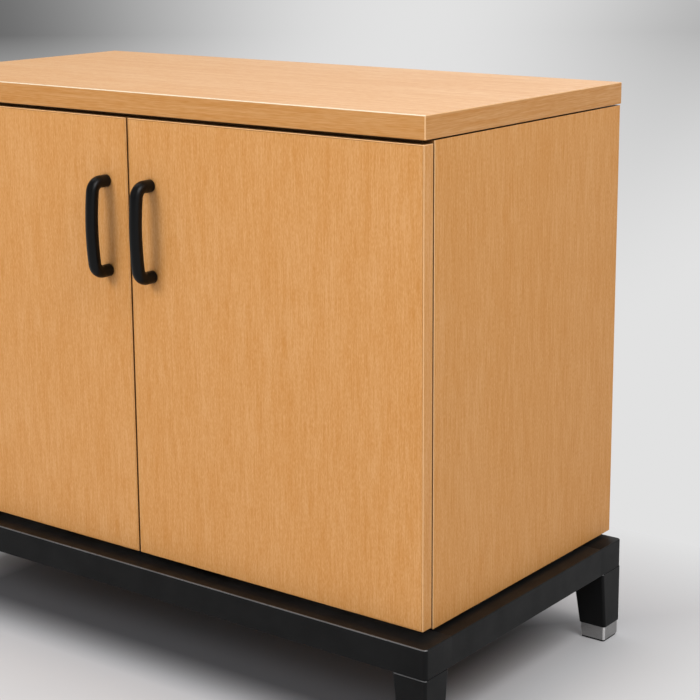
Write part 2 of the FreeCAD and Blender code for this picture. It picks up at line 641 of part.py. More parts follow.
def make_case_fittings():
    """Dowels, cam bolts and cam locks of the knock-down joints."""
    dowel = new_body("dowel")
    sketch = new_sketch(dowel, "half_section", "XZ_Plane")
    reach, inside, chamfer = "sizes.dowel_in_board", "sizes.dowel_in_side", "1"
    radius = "sizes.dowel_diameter / 2"
    add_polygon(sketch, [("0", f"-{inside}"), (f"{radius} - {chamfer}", f"-{inside}"),
                         (radius, f"-{inside} + {chamfer}"), (radius, f"{reach} - {chamfer}"),
                         (f"{radius} - {chamfer}", reach), ("0", reach)])
    turn = dowel.newObject("PartDesign::Revolution", "turning")
    turn.Profile = sketch
    turn.ReferenceAxis = (sketch, ["V_Axis"])
    doc.recompute()

    bolt = new_body("cam_bolt")
    sketch = new_sketch(bolt, "half_section", "XZ_Plane")
    tip = "sizes.cam_inset - 1"
    add_polygon(sketch, [
        ("0", "-sizes.cam_bolt_in_side"), ("sizes.cam_bolt / 2", "-sizes.cam_bolt_in_side"),
        ("sizes.cam_bolt / 2", "0"), ("sizes.cam_bolt / 3", "0.5"), ("sizes.cam_bolt / 3", f"{tip} - 2.5"),
        ("sizes.cam_bolt / 2", f"{tip} - 1.8"), ("sizes.cam_bolt / 2", tip), ("0", tip)])
    turn = bolt.newObject("PartDesign::Revolution", "turning")
    turn.Profile = sketch
    turn.ReferenceAxis = (sketch, ["V_Axis"])
    doc.recompute()

    cam = new_body("cam_lock")
    sketch = new_sketch(cam, "outline", "XY_Plane")
    add_circle(sketch, "0", "0", "sizes.cam_diameter")
    pad(cam, "height", sketch, "sizes.cam_depth - 0.2")
    throat = new_sketch(cam, "throat_outline", "YZ_Plane", "-sizes.cam_diameter / 2")
    add_rectangle(throat, "-sizes.cam_bolt / 2 - 0.6", "sizes.board / 2 - sizes.cam_bolt / 2 - 0.6",
                  "sizes.cam_bolt + 1.2", "sizes.cam_bolt + 1.2")
    pocket(cam, "throat", throat, "sizes.cam_diameter / 2 + 1", back=True)
    slot = new_sketch(cam, "slot_outline", "XY_Plane")
    add_rectangle(slot, "-sizes.cam_diameter / 3", "-0.8", "2 * sizes.cam_diameter / 3", "1.6")
    pocket(cam, "driver_slot", slot, "1.5", back=True)

    dowel_spots, bolt_spots, cam_spots = [], [], []
    for side, sign in SIDES.items():
        end = f"{sign} * (places.half_width - sizes.board)"
        inwards = -90 if sign > 0 else 90
        for dowels, cams, height in JOINTS:
            z = f"places.case_z + {height}"
            for along in dowels:
                dowel_spots.append(spot(end, f"places.board_front_y + {along}", z, (0, 1, 0), inwards))
            for along in cams:
                y = f"places.board_front_y + {along}"
                bolt_spots.append(spot(end, y, z, (0, 1, 0), inwards))
                centre = f"{end} - {sign} * sizes.cam_inset"
                turned = 180 if sign > 0 else 0
                cam_spots.append(spot(centre, y, f"{z} - sizes.board / 2", (0, 0, 1), turned))
    node(group("dowels", (dowel, dowel_spots)))
    node(group("cam_bolts", (bolt, bolt_spots)))
    node(group("cam_locks", (cam, cam_spots)))


def make_shelf():
    width = "(places.inner_width - 2 * sizes.shelf_play)"
    depth = "(places.board_depth - sizes.shelf_setback - 2)"
    y = "places.board_front_y + sizes.shelf_setback"
    shelf = new_body("shelf", f"-{width} / 2", y, "places.shelf_z")
    board_box(shelf, width, depth, "sizes.board")
    node(shelf)

    strip = new_body("shelf_edging", f"-{width} / 2", f"{y} - sizes.edging", "places.shelf_z")
    board_box(strip, width, "sizes.edging", "sizes.board")
    tall = value("sizes.board")
    round_edges(strip, "arris", "sizes.arris_radius",
                lambda edge: flat_at(edge.BoundBox, "Y", 0)
                and (flat_at(edge.BoundBox, "Z", 0) or flat_at(edge.BoundBox, "Z", tall)))
    node(strip)

    pin = new_body("shelf_pin")
    sketch = new_sketch(pin, "peg_outline", "YZ_Plane")
    add_circle(sketch, "0", "0", "sizes.shelf_hole - 2 * sizes.peg_play")
    pad(pin, "peg", sketch, "sizes.shelf_hole_depth - 1", back=True)
    sketch = new_sketch(pin, "collar_outline", "YZ_Plane")
    add_circle(sketch, "0", "0", "sizes.shelf_hole + 3")
    pad(pin, "collar", sketch, "0.8")
    sketch = new_sketch(pin, "spoon_outline", "YZ_Plane")
    add_polygon(sketch, [("-4", "sizes.shelf_hole / 2"), ("-4", "sizes.shelf_hole / 2 - 1.8"),
                         ("-1", "-sizes.shelf_hole / 2 - 1"), ("1", "-sizes.shelf_hole / 2 - 1"),
                         ("4", "sizes.shelf_hole / 2 - 1.8"), ("4", "sizes.shelf_hole / 2")])
    pad(pin, "spoon", sketch, "9")
    over = new_sketch(pin, "seat_outline", "YZ_Plane")
    add_rectangle(over, "-6", "sizes.shelf_hole / 2", "12", "4")
    pocket(pin, "seat", over, "10", back=True)
    hole_z = "places.shelf_z - sizes.shelf_hole / 2"
    spots = []
    for sign in SIDES.values():
        for column in ("places.front_hole_y", "places.back_hole_y"):
            spots.append(spot(f"{sign} * (places.half_width - sizes.board)", f"places.board_front_y + {column}",
                              hole_z, (0, 0, 1), 180 if sign > 0 else 0))
    node(group("shelf_pins", (pin, spots)))


# ---------------------------------------------------------------------------
# Base frame and legs
# ---------------------------------------------------------------------------
BASE_SCREWS = [(x, y) for y in ("places.base_screw_front_y", "places.base_screw_back_y")
               for x in ("-places.base_screw_x", "0", "places.base_screw_x")]


def make_long_rail(label, y, outer_low):
    """Front or back rail: closed box section, rounded at its two outer corners."""
    width = "2 * places.base_half_width"
    rail = new_body(label, "-places.base_half_width", y, "places.rail_z")
    board_box(rail, width, "sizes.rail_width", "sizes.rail_height")
    wide, deep, tall = value(width), value("sizes.rail_width"), value("sizes.rail_height")
    outer_y = 0 if outer_low else deep
    round_edges(rail, "corners", "sizes.base_corner",
                lambda edge: flat_at(edge.BoundBox, "Y", outer_y)
                and (flat_at(edge.BoundBox, "X", 0) or flat_at(edge.BoundBox, "X", wide)))
    inner_y = deep - outer_y

    def rim(edge):
        box = edge.BoundBox
        level = flat_at(box, "Z", 0) or flat_at(box, "Z", tall)
        return level and not flat_at(box, "Y", inner_y)

    round_edges(rail, "arris", "sizes.base_arris", rim)
    void = new_sketch(rail, "void_outline", "XY_Plane", "sizes.rail_wall")
    add_rectangle(void, "sizes.rail_wall", "sizes.rail_wall", f"{width} - 2 * sizes.rail_wall",
                  "sizes.rail_width - 2 * sizes.rail_wall")
    pocket(rail, "void", void, "sizes.rail_height - 2 * sizes.rail_wall", back=True)
    bolt_y = "sizes.leg_top / 2" if outer_low else "sizes.rail_width - sizes.leg_top / 2"
    bolts = [("sizes.leg_top / 2", bolt_y), (f"{width} - sizes.leg_top / 2", bolt_y)]
    drill(rail, "leg_bolt_holes", "XY_Plane", "0", bolts, "sizes.leg_bolt_shank + 2 * sizes.peg_play",
          "sizes.rail_wall", back=True)
    node(rail)


def make_short_rail(label, x, outer):
    """Side or middle rail between the long ones: open tube with its screw holes."""
    rail = new_body(label, f"{x} - sizes.rail_width / 2", "places.base_inner_y", "places.rail_z")
    section = new_sketch(rail, "section", "XZ_Plane")
    add_rectangle(section, "0", "0", "sizes.rail_width", "sizes.rail_height")
    pad(rail, "tube", section, "places.base_inner_length", back=True)
    if outer is not None:
        edge_x = 0 if outer < 0 else value("sizes.rail_width")
        length = value("places.base_inner_length")
        round_edges(rail, "arris", "sizes.base_arris",
                    lambda edge: flat_at(edge.BoundBox, "X", edge_x) and near(edge.Length, length))
    bore = new_sketch(rail, "bore", "XZ_Plane")
    add_rectangle(bore, "sizes.rail_wall", "sizes.rail_wall", "sizes.rail_width - 2 * sizes.rail_wall",
                  "sizes.rail_height - 2 * sizes.rail_wall")
    pocket(rail, "hollow", bore, "places.base_inner_length")
    screw_x = "0" if outer is None else f"{outer} * places.base_screw_x"
    centres = [(f"{screw_x} - ({x} - sizes.rail_width / 2)", f"{y} - places.base_inner_y")
               for y in ("places.base_screw_front_y", "places.base_screw_back_y")]
    drill(rail, "screw_holes", "XY_Plane", "0", centres, "sizes.base_screw_shank + 2 * sizes.screw_play",
          "sizes.rail_height", back=True)
    node(rail)


def make_base():
    make_long_rail("base_rail_front", "places.base_front_y", True)
    make_long_rail("base_rail_back", "places.base_back_y - sizes.rail_width", False)
    make_short_rail("base_rail_left", "-places.side_rail_middle", -1)
    make_short_rail("base_rail_right", "places.side_rail_middle", 1)
    make_short_rail("base_rail_middle", "0", None)

    packer = new_body("base_packer")
    sketch = new_sketch(packer, "outline", "XY_Plane")
    add_rectangle(sketch, "-sizes.base_packer_width / 2", "-sizes.base_packer_length / 2",
                  "sizes.base_packer_width", "sizes.base_packer_length")
    pad(packer, "thickness", sketch, "sizes.base_gap")
    drill(packer, "screw_hole", "XY_Plane", "0", [("-sizes.base_packer_width / 2 + 6", "0")],
          "sizes.base_screw_shank + 2 * sizes.screw_play", "sizes.base_gap", back=True)
    shift = "(sizes.base_packer_width / 2 - 6)"
    spots = []
    for x, y in BASE_SCREWS:
        turned = x.startswith("-")
        centre = f"{x} - {shift}" if turned else f"{x} + {shift}"
        spots.append(spot(centre, y, "places.rail_top_z", (0, 0, 1), 180 if turned else 0))
    node(group("base_packers", (packer, spots)))

    screw = make_screw("base_screw", "sizes.base_screw_shank", "sizes.base_screw_head",
                       "sizes.base_screw_head_height",
                       "sizes.rail_height + sizes.base_gap + sizes.base_screw_bite")
    node(group("base_screws", (screw, [spot(x, y, "places.rail_z") for x, y in BASE_SCREWS])))


CORNERS = {
    # name: sign of x, sign of y, turn of the leg about Z
    "front_left": (-1, -1, 0),
    "front_right": (1, -1, 90),
    "back_right": (1, 1, 180),
    "back_left": (-1, 1, 270),
}


def corner_body(label, sign_x, sign_y, turn, z):
    """Body with its origin at an outer corner of the base, turned to face inwards."""
    x = f"{sign_x} * places.base_half_width"
    y = "places.base_front_y" if sign_y < 0 else "places.base_back_y"
    body = new_body(label, x, y, z)
    body.Placement = Placement(body.Placement.Base, Rotation(Vector(0, 0, 1), turn))
    doc.recompute()
    return body


def loft(body, name, kind, lower, upper):
    feature = body.newObject(f"PartDesign::{kind}", name)
    feature.Profile = lower
    feature.Sections = [upper]
    feature.Ruled = True
    doc.recompute()
    return feature


def make_leg(corner, sign_x, sign_y, turn):
    leg = corner_body(f"leg_{corner}", sign_x, sign_y, turn, "places.leg_bottom_z")
    board_box(leg, "sizes.leg_top", "sizes.leg_top", "sizes.leg_height")
    wedge = [("sizes.leg_top", "sizes.leg_height"), ("sizes.leg_bottom", "0"), ("sizes.leg_top", "0")]
    for name, plane, along_normal in (("taper_x", "XZ_Plane", False), ("taper_y", "YZ_Plane", True)):
        outline = new_sketch(leg, name + "_outline", plane)
        add_polygon(outline, wedge)
        pocket(leg, name, outline, "sizes.leg_top", back=along_normal)
    top = value("sizes.leg_height")
    round_edges(leg, "corners", "sizes.leg_corner",
                lambda edge: near(edge.BoundBox.ZMin, 0) and near(edge.BoundBox.ZMax, top))
    round_edges(leg, "top_arris", "sizes.leg_arris", lambda edge: flat_at(edge.BoundBox, "Z", top))
    round_edges(leg, "foot_arris", "sizes.leg_foot_arris", lambda edge: flat_at(edge.BoundBox, "Z", 0))

    wall = "sizes.leg_wall"
    corner_inside = "(sizes.leg_corner - sizes.leg_wall)"
    low = new_sketch(leg, "hollow_foot", "XY_Plane")
    add_rounded_square(low, wall, wall, "sizes.leg_bottom - 2 * sizes.leg_wall", corner_inside)
    high = new_sketch(leg, "hollow_head", "XY_Plane", "sizes.leg_height - sizes.leg_plate")
    add_rounded_square(high, wall, wall, "sizes.leg_top - 2 * sizes.leg_wall"
                       " - (sizes.leg_top - sizes.leg_bottom) * sizes.leg_plate / sizes.leg_height",
                       corner_inside)
    loft(leg, "hollow", "SubtractiveLoft", low, high)
    drill(leg, "bolt_hole", "XY_Plane", "sizes.leg_height", [("sizes.leg_top / 2", "sizes.leg_top / 2")],
          "sizes.leg_bolt_shank + 2 * sizes.peg_play", "sizes.leg_plate")
    node(leg)

    ferrule = corner_body(f"ferrule_{corner}", sign_x, sign_y, turn, "sizes.glide_height")
    sketch = new_sketch(ferrule, "section", "XY_Plane")
    inset = "places.ferrule_inset"
    add_rounded_square(sketch, inset, inset, "sizes.ferrule_side", "sizes.ferrule_corner")
    bore = f"{inset} + sizes.ferrule_wall"
    add_rounded_square(sketch, bore, bore, "sizes.ferrule_side - 2 * sizes.ferrule_wall",
                       "(sizes.ferrule_corner - sizes.ferrule_wall)")
    pad(ferrule, "height", sketch, "sizes.ferrule_height")
    node(ferrule)


def make_legs():
    for corner, (sign_x, sign_y, turn) in CORNERS.items():
        make_leg(corner, sign_x, sign_y, turn)

    glide = new_body("glide")
    foot = new_sketch(glide, "pad_outline", "XY_Plane")
    add_rounded_square(foot, "places.glide_inset", "places.glide_inset", "sizes.glide_side",
                       "sizes.ferrule_corner")
    pad(glide, "foot_pad", foot, "sizes.glide_height")
    plug = new_sketch(glide, "plug_outline", "XY_Plane")
    inset = "(places.ferrule_inset + sizes.ferrule_wall + sizes.plug_play)"
    add_rounded_square(plug, inset, inset, f"(sizes.leg_bottom - 2 * {inset})",
                       "(sizes.leg_corner - sizes.leg_wall)")
    pad(glide, "plug", plug, "places.leg_bottom_z + sizes.glide_plug")

    bolt = new_body("leg_bolt")
    sketch = new_sketch(bolt, "hexagon", "XY_Plane")
    half = "sizes.leg_bolt_flats / 2"
    across = "sizes.leg_bolt_flats / sqrt(3)"
    add_polygon(sketch, [(across, "0"), (f"{across} / 2", half), (f"-{across} / 2", half),
                         (f"-{across}", "0"), (f"-{across} / 2", f"-{half}"), (f"{across} / 2", f"-{half}")])
    pad(bolt, "head", sketch, "sizes.leg_bolt_head", back=True)
    sketch = new_sketch(bolt, "shank_outline", "XY_Plane")
    add_circle(sketch, "0", "0", "sizes.leg_bolt_shank")
    pad(bolt, "shank", sketch, "sizes.leg_plate + sizes.rail_wall + sizes.leg_bolt_grip")

    glides, bolts = [], []
    for sign_x, sign_y, turn in CORNERS.values():
        x = f"{sign_x} * places.base_half_width"
        y = "places.base_front_y" if sign_y < 0 else "places.base_back_y"
        glides.append(spot(x, y, "0", (0, 0, 1), turn))
        inwards_x = f"{x} - {sign_x} * sizes.leg_top / 2"
        inwards_y = f"{y} - {sign_y} * sizes.leg_top / 2"
        bolts.append(spot(inwards_x, inwards_y, "places.rail_z - sizes.leg_plate"))
    node(group("glides", (glide, glides)))
    node(group("leg_bolts", (bolt, bolts)))


# ---------------------------------------------------------------------------
# Doors and handles
# ---------------------------------------------------------------------------
POST_HEIGHTS = ("places.handle_low", "places.handle_low + sizes.handle_centres")


def make_door(side, sign):
    door_x = "-places.half_width" if sign < 0 else "places.half_width - places.door_width"
    width, height = "places.door_width", "places.door_height"
    core = new_body(f"door_{side}", f"{door_x} + sizes.edging", "places.door_face_y",
                    "places.door_z + sizes.edging")
    sketch = new_sketch(core, "outline", "XZ_Plane")
    add_rectangle(sketch, "0", "0", f"{width} - 2 * sizes.edging", f"{height} - 2 * sizes.edging")
    pad(core, "thickness", sketch, "sizes.door_board", back=True)

    # Hole centres along the door, from the left end of the core board.
    hinge_side = "0" if sign < 0 else f"{width}"
    inwards = 1 if sign < 0 else -1
    cup_x = f"{hinge_side} + {inwards} * (sizes.cup_edge + places.cup_radius) - sizes.edging"
    post_x = f"{width} - {hinge_side} - {inwards} * sizes.handle_inset - sizes.edging"
    levels = [f"places.{level} - sizes.edging" for level in ("hinge_low", "hinge_high")]
    drill(core, "cup_bores", "XZ_Plane", "-sizes.door_board", [(cup_x, z) for z in levels],
          "sizes.cup_diameter + 2 * sizes.cup_play", "sizes.cup_depth + sizes.cup_play", back=True)
    screws = [(f"{cup_x} + {inwards} * sizes.cup_screw_shift", f"{z} + {up} * sizes.cup_screw_span / 2")
              for z in levels for up in (-1, 1)]
    drill(core, "cup_screw_holes", "XZ_Plane", "-sizes.door_board", screws,
          "sizes.screw_shank + 2 * sizes.peg_play", "sizes.cup_screw_bite + 2", back=True)
    posts = [(post_x, f"{z} - sizes.edging") for z in POST_HEIGHTS]
    drill(core, "handle_screw_holes", "XZ_Plane", "-sizes.door_board", posts,
          "sizes.screw_shank + 2 * sizes.screw_play", "sizes.door_board", back=True)
    node(core)

    band = new_body(f"door_edging_{side}", door_x, "places.door_face_y", "places.door_z")
    sketch = new_sketch(band, "outline", "XZ_Plane")
    add_rectangle(sketch, "0", "0", width, height)
    add_rectangle(sketch, "sizes.edging", "sizes.edging", f"{width} - 2 * sizes.edging",
                  f"{height} - 2 * sizes.edging")
    pad(band, "thickness", sketch, "sizes.door_board", back=True)
    wide, deep, tall = value(width), value("sizes.door_board"), value(height)

    def outside(edge):
        box = edge.BoundBox
        x_out = flat_at(box, "X", 0) or flat_at(box, "X", wide)
        y_out = flat_at(box, "Y", 0) or flat_at(box, "Y", deep)
        z_out = flat_at(box, "Z", 0) or flat_at(box, "Z", tall)
        return [x_out, y_out, z_out].count(True) >= 2

    round_edges(band, "arris", "sizes.arris_radius", outside)
    node(band)
    make_handle(side, f"{door_x} + sizes.edging + {post_x}")


def make_handle(side, x):
    """Bow handle: round bar swept along a bowed grip with two bent ends."""
    handle = new_body(f"handle_{side}", x, "places.door_face_y", "places.door_z + places.handle_low")
    tall = value("sizes.handle_centres")
    bend = value("sizes.handle_bend")
    bow = value("sizes.handle_bow")
    reach = value("sizes.handle_reach") - bow
    path = new_sketch(handle, "bar_axis", "YZ_Plane")
    lower_end = (-reach, bend)
    upper_end = (-reach, tall - bend)
    low_post = add_line(path, (0, 0), (-reach + bend, 0))
    circle = Part.Circle(Vector(-reach + bend, bend, 0), Vector(0, 0, 1), bend)
    low_bend = path.addGeometry(Part.ArcOfCircle(circle, math.pi, 1.5 * math.pi), False)
    grip_arc = Part.Arc(Vector(*lower_end, 0), Vector(-reach - bow, tall / 2, 0), Vector(*upper_end, 0))
    grip = path.addGeometry(grip_arc, False)
    circle = Part.Circle(Vector(-reach + bend, tall - bend, 0), Vector(0, 0, 1), bend)
    high_bend = path.addGeometry(Part.ArcOfCircle(circle, 0.5 * math.pi, math.pi), False)
    high_post = add_line(path, (-reach + bend, tall), (0, tall))

    join = Sketcher.Constraint
    path.addConstraint(join("Tangent", low_post, 2, low_bend, 2))
    path.addConstraint(join("Tangent", high_bend, 1, high_post, 1))
    path.addConstraint(join("Tangent", low_bend, 1, grip, arc_end(path, grip, lower_end)))
    path.addConstraint(join("Tangent", high_bend, 2, grip, arc_end(path, grip, upper_end)))
    path.addConstraint(join("Equal", low_bend, high_bend))
    path.addConstraint(join("Horizontal", low_post))
    path.addConstraint(join("Horizontal", high_post))
    path.addConstraint(join("Equal", low_post, high_post))
    path.addConstraint(join("Coincident", -1, 1, low_post, 1))
    pin_point(path, high_post, 2, "0", "sizes.handle_centres")
    bind(path, "Radius", low_bend, to="sizes.handle_bend")
    bind(path, "Radius", grip, to="places.grip_radius")
    bind(path, "DistanceX", -1, 1, grip, 3, to="places.grip_radius - sizes.handle_reach")
    doc.recompute()
    section = new_sketch(handle, "bar_section", "XZ_Plane")
    add_circle(section, "0", "0", "sizes.handle_diameter")
    bar = handle.newObject("PartDesign::AdditivePipe", "bar")
    bar.Profile = section
    bar.Spine = (path, [])
    doc.recompute()
    round_edges(handle, "feet", "sizes.handle_foot_arris", lambda edge: flat_at(edge.BoundBox, "Y", 0))
    drill(handle, "threads", "XZ_Plane", "0", [("0", "0"), ("0", "sizes.handle_centres")],
          "sizes.screw_shank + 2 * sizes.peg_play", "sizes.handle_screw_bite + 2", back=True)
    node(handle)

    screw = make_screw(f"handle_screw_{side}", "sizes.screw_shank", "sizes.screw_head",
                       "sizes.screw_head_height", "sizes.door_board + sizes.handle_screw_bite")
    spots = [spot(x, "places.door_face_y + sizes.door_board", f"places.door_z + {z}", (1, 0, 0), 90)
             for z in POST_HEIGHTS]
    node(group(f"handle_screws_{side}", (screw, spots)))


def arc_end(sketch, arc, point):
    """Which end of the arc, 1 or 2, lies at the point."""
    start = sketch.getPoint(arc, 1)
    gap = math.hypot(start.x - point[0], start.y - point[1])
    return 1 if gap < 1 else 2


def make_bumpers():
    bumper = new_body("bumper")
    sketch = new_sketch(bumper, "outline", "XZ_Plane")
    add_circle(sketch, "0", "0", "sizes.bumper_diameter")
    pad(bumper, "height", sketch, "sizes.door_standoff - sizes.bumper_play")
    spots = [spot(f"{sign} * sizes.bumper_inset", "places.case_front_y", z)
             for z in ("places.case_z + sizes.board / 2", "places.case_top_z - sizes.board / 2")
             for sign in SIDES.values()]
    node(group("door_bumpers", (bumper, spots)))


# ---------------------------------------------------------------------------
# Concealed hinges
# ---------------------------------------------------------------------------
# Hinge frame: X from the side panel's inner face outwards, Y from the door's back into the case,
# Z up from the middle of the hinge.  A left hinge is a right one turned half round about Y.
def make_hinge_cup():
    cup = new_body("hinge_cup")
    bowl = new_sketch(cup, "bowl_outline", "XZ_Plane")
    add_circle(bowl, "places.cup_x", "0", "sizes.cup_diameter")
    pad(cup, "bowl", bowl, "sizes.cup_depth")
    flange = new_sketch(cup, "flange_outline", "XZ_Plane")
    add_circle(flange, "places.cup_x", "0", "sizes.cup_diameter + 3")
    pad(cup, "flange", flange, "sizes.cup_flange", back=True)
    ears = new_sketch(cup, "ear_outline", "XZ_Plane")
    ear_x = "places.cup_x - sizes.cup_screw_shift"
    half = "sizes.cup_ear_radius + 3"
    reach = "sizes.cup_screw_span / 2 + sizes.cup_ear_radius"
    add_rectangle(ears, f"{ear_x} - ({half})", f"-({reach})", f"2 * ({half})", f"2 * ({reach})")
    pad(cup, "ears", ears, "sizes.cup_flange", back=True)
    hollow = new_sketch(cup, "hollow_outline", "XZ_Plane", "-sizes.cup_flange")
    add_circle(hollow, "places.cup_x", "0", "sizes.cup_diameter - 2 * sizes.cup_wall")
    pocket(cup, "hollow", hollow, "sizes.cup_depth + sizes.cup_flange - sizes.cup_wall / 2", back=True)
    # two lugs beside the arm hold the pivot pin
    lug_gap = "(sizes.arm_width / 2 + sizes.arm_side_play)"
    lug_half = "(sizes.eye_radius + 0.4)"
    wall_radius = "(places.cup_radius - sizes.cup_wall / 2)"
    for up in (1, -1):
        lug = new_sketch(cup, "lug_outline", "XZ_Plane", "sizes.cup_depth")
        near_x, far_x = (f"places.cup_x + sqrt({wall_radius}^2 - ({z})^2)" for z in (lug_gap, f"{lug_gap} + 4"))
        outline = [(f"places.pivot_x - {lug_half}", lug_gap), (near_x, lug_gap),
                   (far_x, f"{lug_gap} + 4"), (f"places.pivot_x - {lug_half}", f"{lug_gap} + 4")]
        add_polygon(lug, [(x, f"{up} * ({z})") for x, z in outline])
        pad(cup, "lug", lug, "sizes.cup_depth - sizes.pivot_depth + sizes.eye_radius + 0.4", back=True)
    bore = new_sketch(cup, "pin_outline", "XY_Plane", "0")
    add_circle(bore, "places.pivot_x", "-sizes.pivot_depth", "sizes.pivot_diameter + 2 * sizes.pivot_play")
    pocket(cup, "pin_bore", bore, "2 * sizes.arm_width + 1.6", both=True)
    drill(cup, "screw_holes", "XZ_Plane", "-sizes.cup_flange",
          [(ear_x, f"{up} * sizes.cup_screw_span / 2") for up in (-1, 1)],
          "sizes.screw_shank + 2 * sizes.screw_play", "sizes.cup_flange", back=True)
    return cup


def make_hinge_arm():
    """Swan-necked arm: eye on the pivot, neck along the cup's floor, bar into the case."""
    arm = new_body("hinge_arm")
    px, py = "places.pivot_x", "-sizes.pivot_depth"
    gap = "-sizes.arm_side_gap"
    far = f"{gap} - 3"
    floor = f"{py} - sizes.neck"
    top = f"{py} + 0.2"
    jog = "12"
    web = "-(sizes.plate_height + sizes.plate_rib)"
    outer_web = f"{web} - 2"
    sketch = new_sketch(arm, "neck_outline", "XY_Plane")
    add_polygon(sketch, [
        (px, floor), (f"{gap} - 0.8", floor), (far, f"{floor} + 1.6"),
        (far, f"{jog} - 5"), (outer_web, f"{jog} + 1"), (outer_web, "sizes.arm_length"),
        (web, "sizes.arm_length"), (web, jog), (gap, f"{jog} - 6"), (gap, f"{top} + 1.2"),
        (f"{gap} + 1.2", top), (px, top)])
    pad(arm, "neck", sketch, "sizes.arm_width", both=True)
    eye = new_sketch(arm, "eye_outline", "XY_Plane")
    add_circle(eye, px, py, "2 * sizes.eye_radius")
    pad(arm, "eye", eye, "sizes.arm_width", both=True)
    # wide channel over the mounting plate
    channel = new_sketch(arm, "channel_outline", "XY_Plane")
    start = "places.plate_start - 6"
    add_rectangle(channel, outer_web, start, f"2 + sizes.plate_rib - 0.4", f"sizes.arm_length - ({start})")
    pad(arm, "channel", channel, "sizes.channel_width", both=True)
    inside = new_sketch(arm, "channel_bore", "XY_Plane")
    add_rectangle(inside, web, f"{start} - 1", "sizes.plate_rib", f"sizes.arm_length - ({start}) + 2")
    pocket(arm, "channel_hollow", inside, "sizes.channel_width - 3", both=True)
    pin = new_sketch(arm, "pin_outline", "XY_Plane")
    add_circle(pin, px, py, "sizes.pivot_diameter + 2 * sizes.pivot_play")
    pocket(arm, "pin_bore", pin, "sizes.arm_width + 1", both=True)
    clamp = new_sketch(arm, "clamp_hole_outline", "YZ_Plane", f"{outer_web} - 1")
    add_circle(clamp, "places.plate_middle", "0", "sizes.screw_shank + 2 * sizes.screw_play")
    pocket(arm, "clamp_hole", clamp, "3.5", back=True)
    return arm


def make_hinge_plate():
    """Winged mounting plate with the rib that carries the arm."""
    plate = new_body("hinge_plate")
    sketch = new_sketch(plate, "wing_outline", "YZ_Plane")
    half_length = "sizes.plate_length / 2"
    middle = "places.plate_middle"
    tall = "(sizes.plate_span / 2 + 6)"
    shoulder = "(sizes.channel_width / 2 + 2)"
    add_polygon(sketch, [
        (f"{middle} - {half_length}", f"-{shoulder}"), (f"{middle} - 6", f"-{tall}"),
        (f"{middle} + 6", f"-{tall}"), (f"{middle} + {half_length}", f"-{shoulder}"),
        (f"{middle} + {half_length}", shoulder), (f"{middle} + 6", tall),
        (f"{middle} - 6", tall), (f"{middle} - {half_length}", shoulder)])
    pad(plate, "wings", sketch, "sizes.plate_height", back=True)
    rib = new_sketch(plate, "rib_outline", "YZ_Plane", "-sizes.plate_height")
    rib_half = "(sizes.channel_width / 2 - 1.5 - 0.2)"
    add_rectangle(rib, f"{middle} - {half_length}", f"-{rib_half}", "sizes.plate_length", f"2 * {rib_half}")
    pad(plate, "rib", rib, "sizes.plate_rib", back=True)
    drill(plate, "screw_holes", "YZ_Plane", "0",
          [(middle, f"{up} * sizes.plate_span / 2") for up in (-1, 1)],
          "sizes.screw_shank + 2 * sizes.screw_play", "sizes.plate_height")
    drill(plate, "clamp_thread", "YZ_Plane", "-(sizes.plate_height + sizes.plate_rib)", [(middle, "0")],
          "sizes.screw_shank + 2 * sizes.peg_play", "5", back=True)
    return plate


def make_hinges():
    cup = make_hinge_cup()
    arm = make_hinge_arm()
    plate = make_hinge_plate()
    pin = new_body("pivot_pin")
    sketch = new_sketch(pin, "outline", "XY_Plane")
    add_circle(sketch, "places.pivot_x", "-sizes.pivot_depth", "sizes.pivot_diameter")
    pad(pin, "length", sketch, "2 * sizes.arm_width + 1", both=True)
    cup_screw = make_screw("cup_screw", "sizes.screw_shank", "sizes.screw_head", "sizes.screw_head_height",
                           "sizes.cup_flange + sizes.cup_screw_bite")
    plate_screw = make_screw("plate_screw", "sizes.screw_shank", "sizes.screw_head",
                             "sizes.screw_head_height", "sizes.plate_height + sizes.plate_screw_bite")
    clamp_screw = make_screw("clamp_screw", "sizes.screw_shank", "sizes.screw_head",
                             "sizes.screw_head_height", "sizes.clamp_screw_length")

    outwards = Rotation(Vector(0, 1, 0), 90)
    towards_door = Rotation(Vector(1, 0, 0), 90)
    for side, sign in SIDES.items():
        frames = []
        for level in ("hinge_low", "hinge_high"):
            frames.append(spot(f"{sign} * (places.half_width - sizes.board)",
                               "places.door_face_y + sizes.door_board", f"places.door_z + places.{level}",
                               (0, 1, 0), 0 if sign > 0 else 180))
        node(group(f"hinge_cups_{side}", (cup, frames)))
        node(group(f"hinge_arms_{side}", (arm, frames)))
        node(group(f"hinge_plates_{side}", (plate, frames)))
        node(group(f"hinge_pins_{side}", (pin, frames)))

        ear_x = value("places.cup_x - sizes.cup_screw_shift")
        half_span = value("sizes.cup_screw_span") / 2
        flange = value("sizes.cup_flange")
        seats = [Placement(Vector(ear_x, flange, up * half_span), towards_door) for up in (-1, 1)]
        spots = [frame.multiply(seat) for frame in frames for seat in seats]
        node(group(f"hinge_cup_screws_{side}", (cup_screw, spots)))

        middle = value("places.plate_middle")
        half_span = value("sizes.plate_span") / 2
        thick = value("sizes.plate_height")
        seats = [Placement(Vector(-thick, middle, up * half_span), outwards) for up in (-1, 1)]
        web = value("-(sizes.plate_height + sizes.plate_rib) - 2")
        clamp = Placement(Vector(web, middle, 0), outwards)
        plate_spots = [frame.multiply(seat) for frame in frames for seat in seats]
        clamp_spots = [frame.multiply(clamp) for frame in frames]
        node(group(f"hinge_plate_screws_{side}", (plate_screw, plate_spots), (clamp_screw, clamp_spots)))


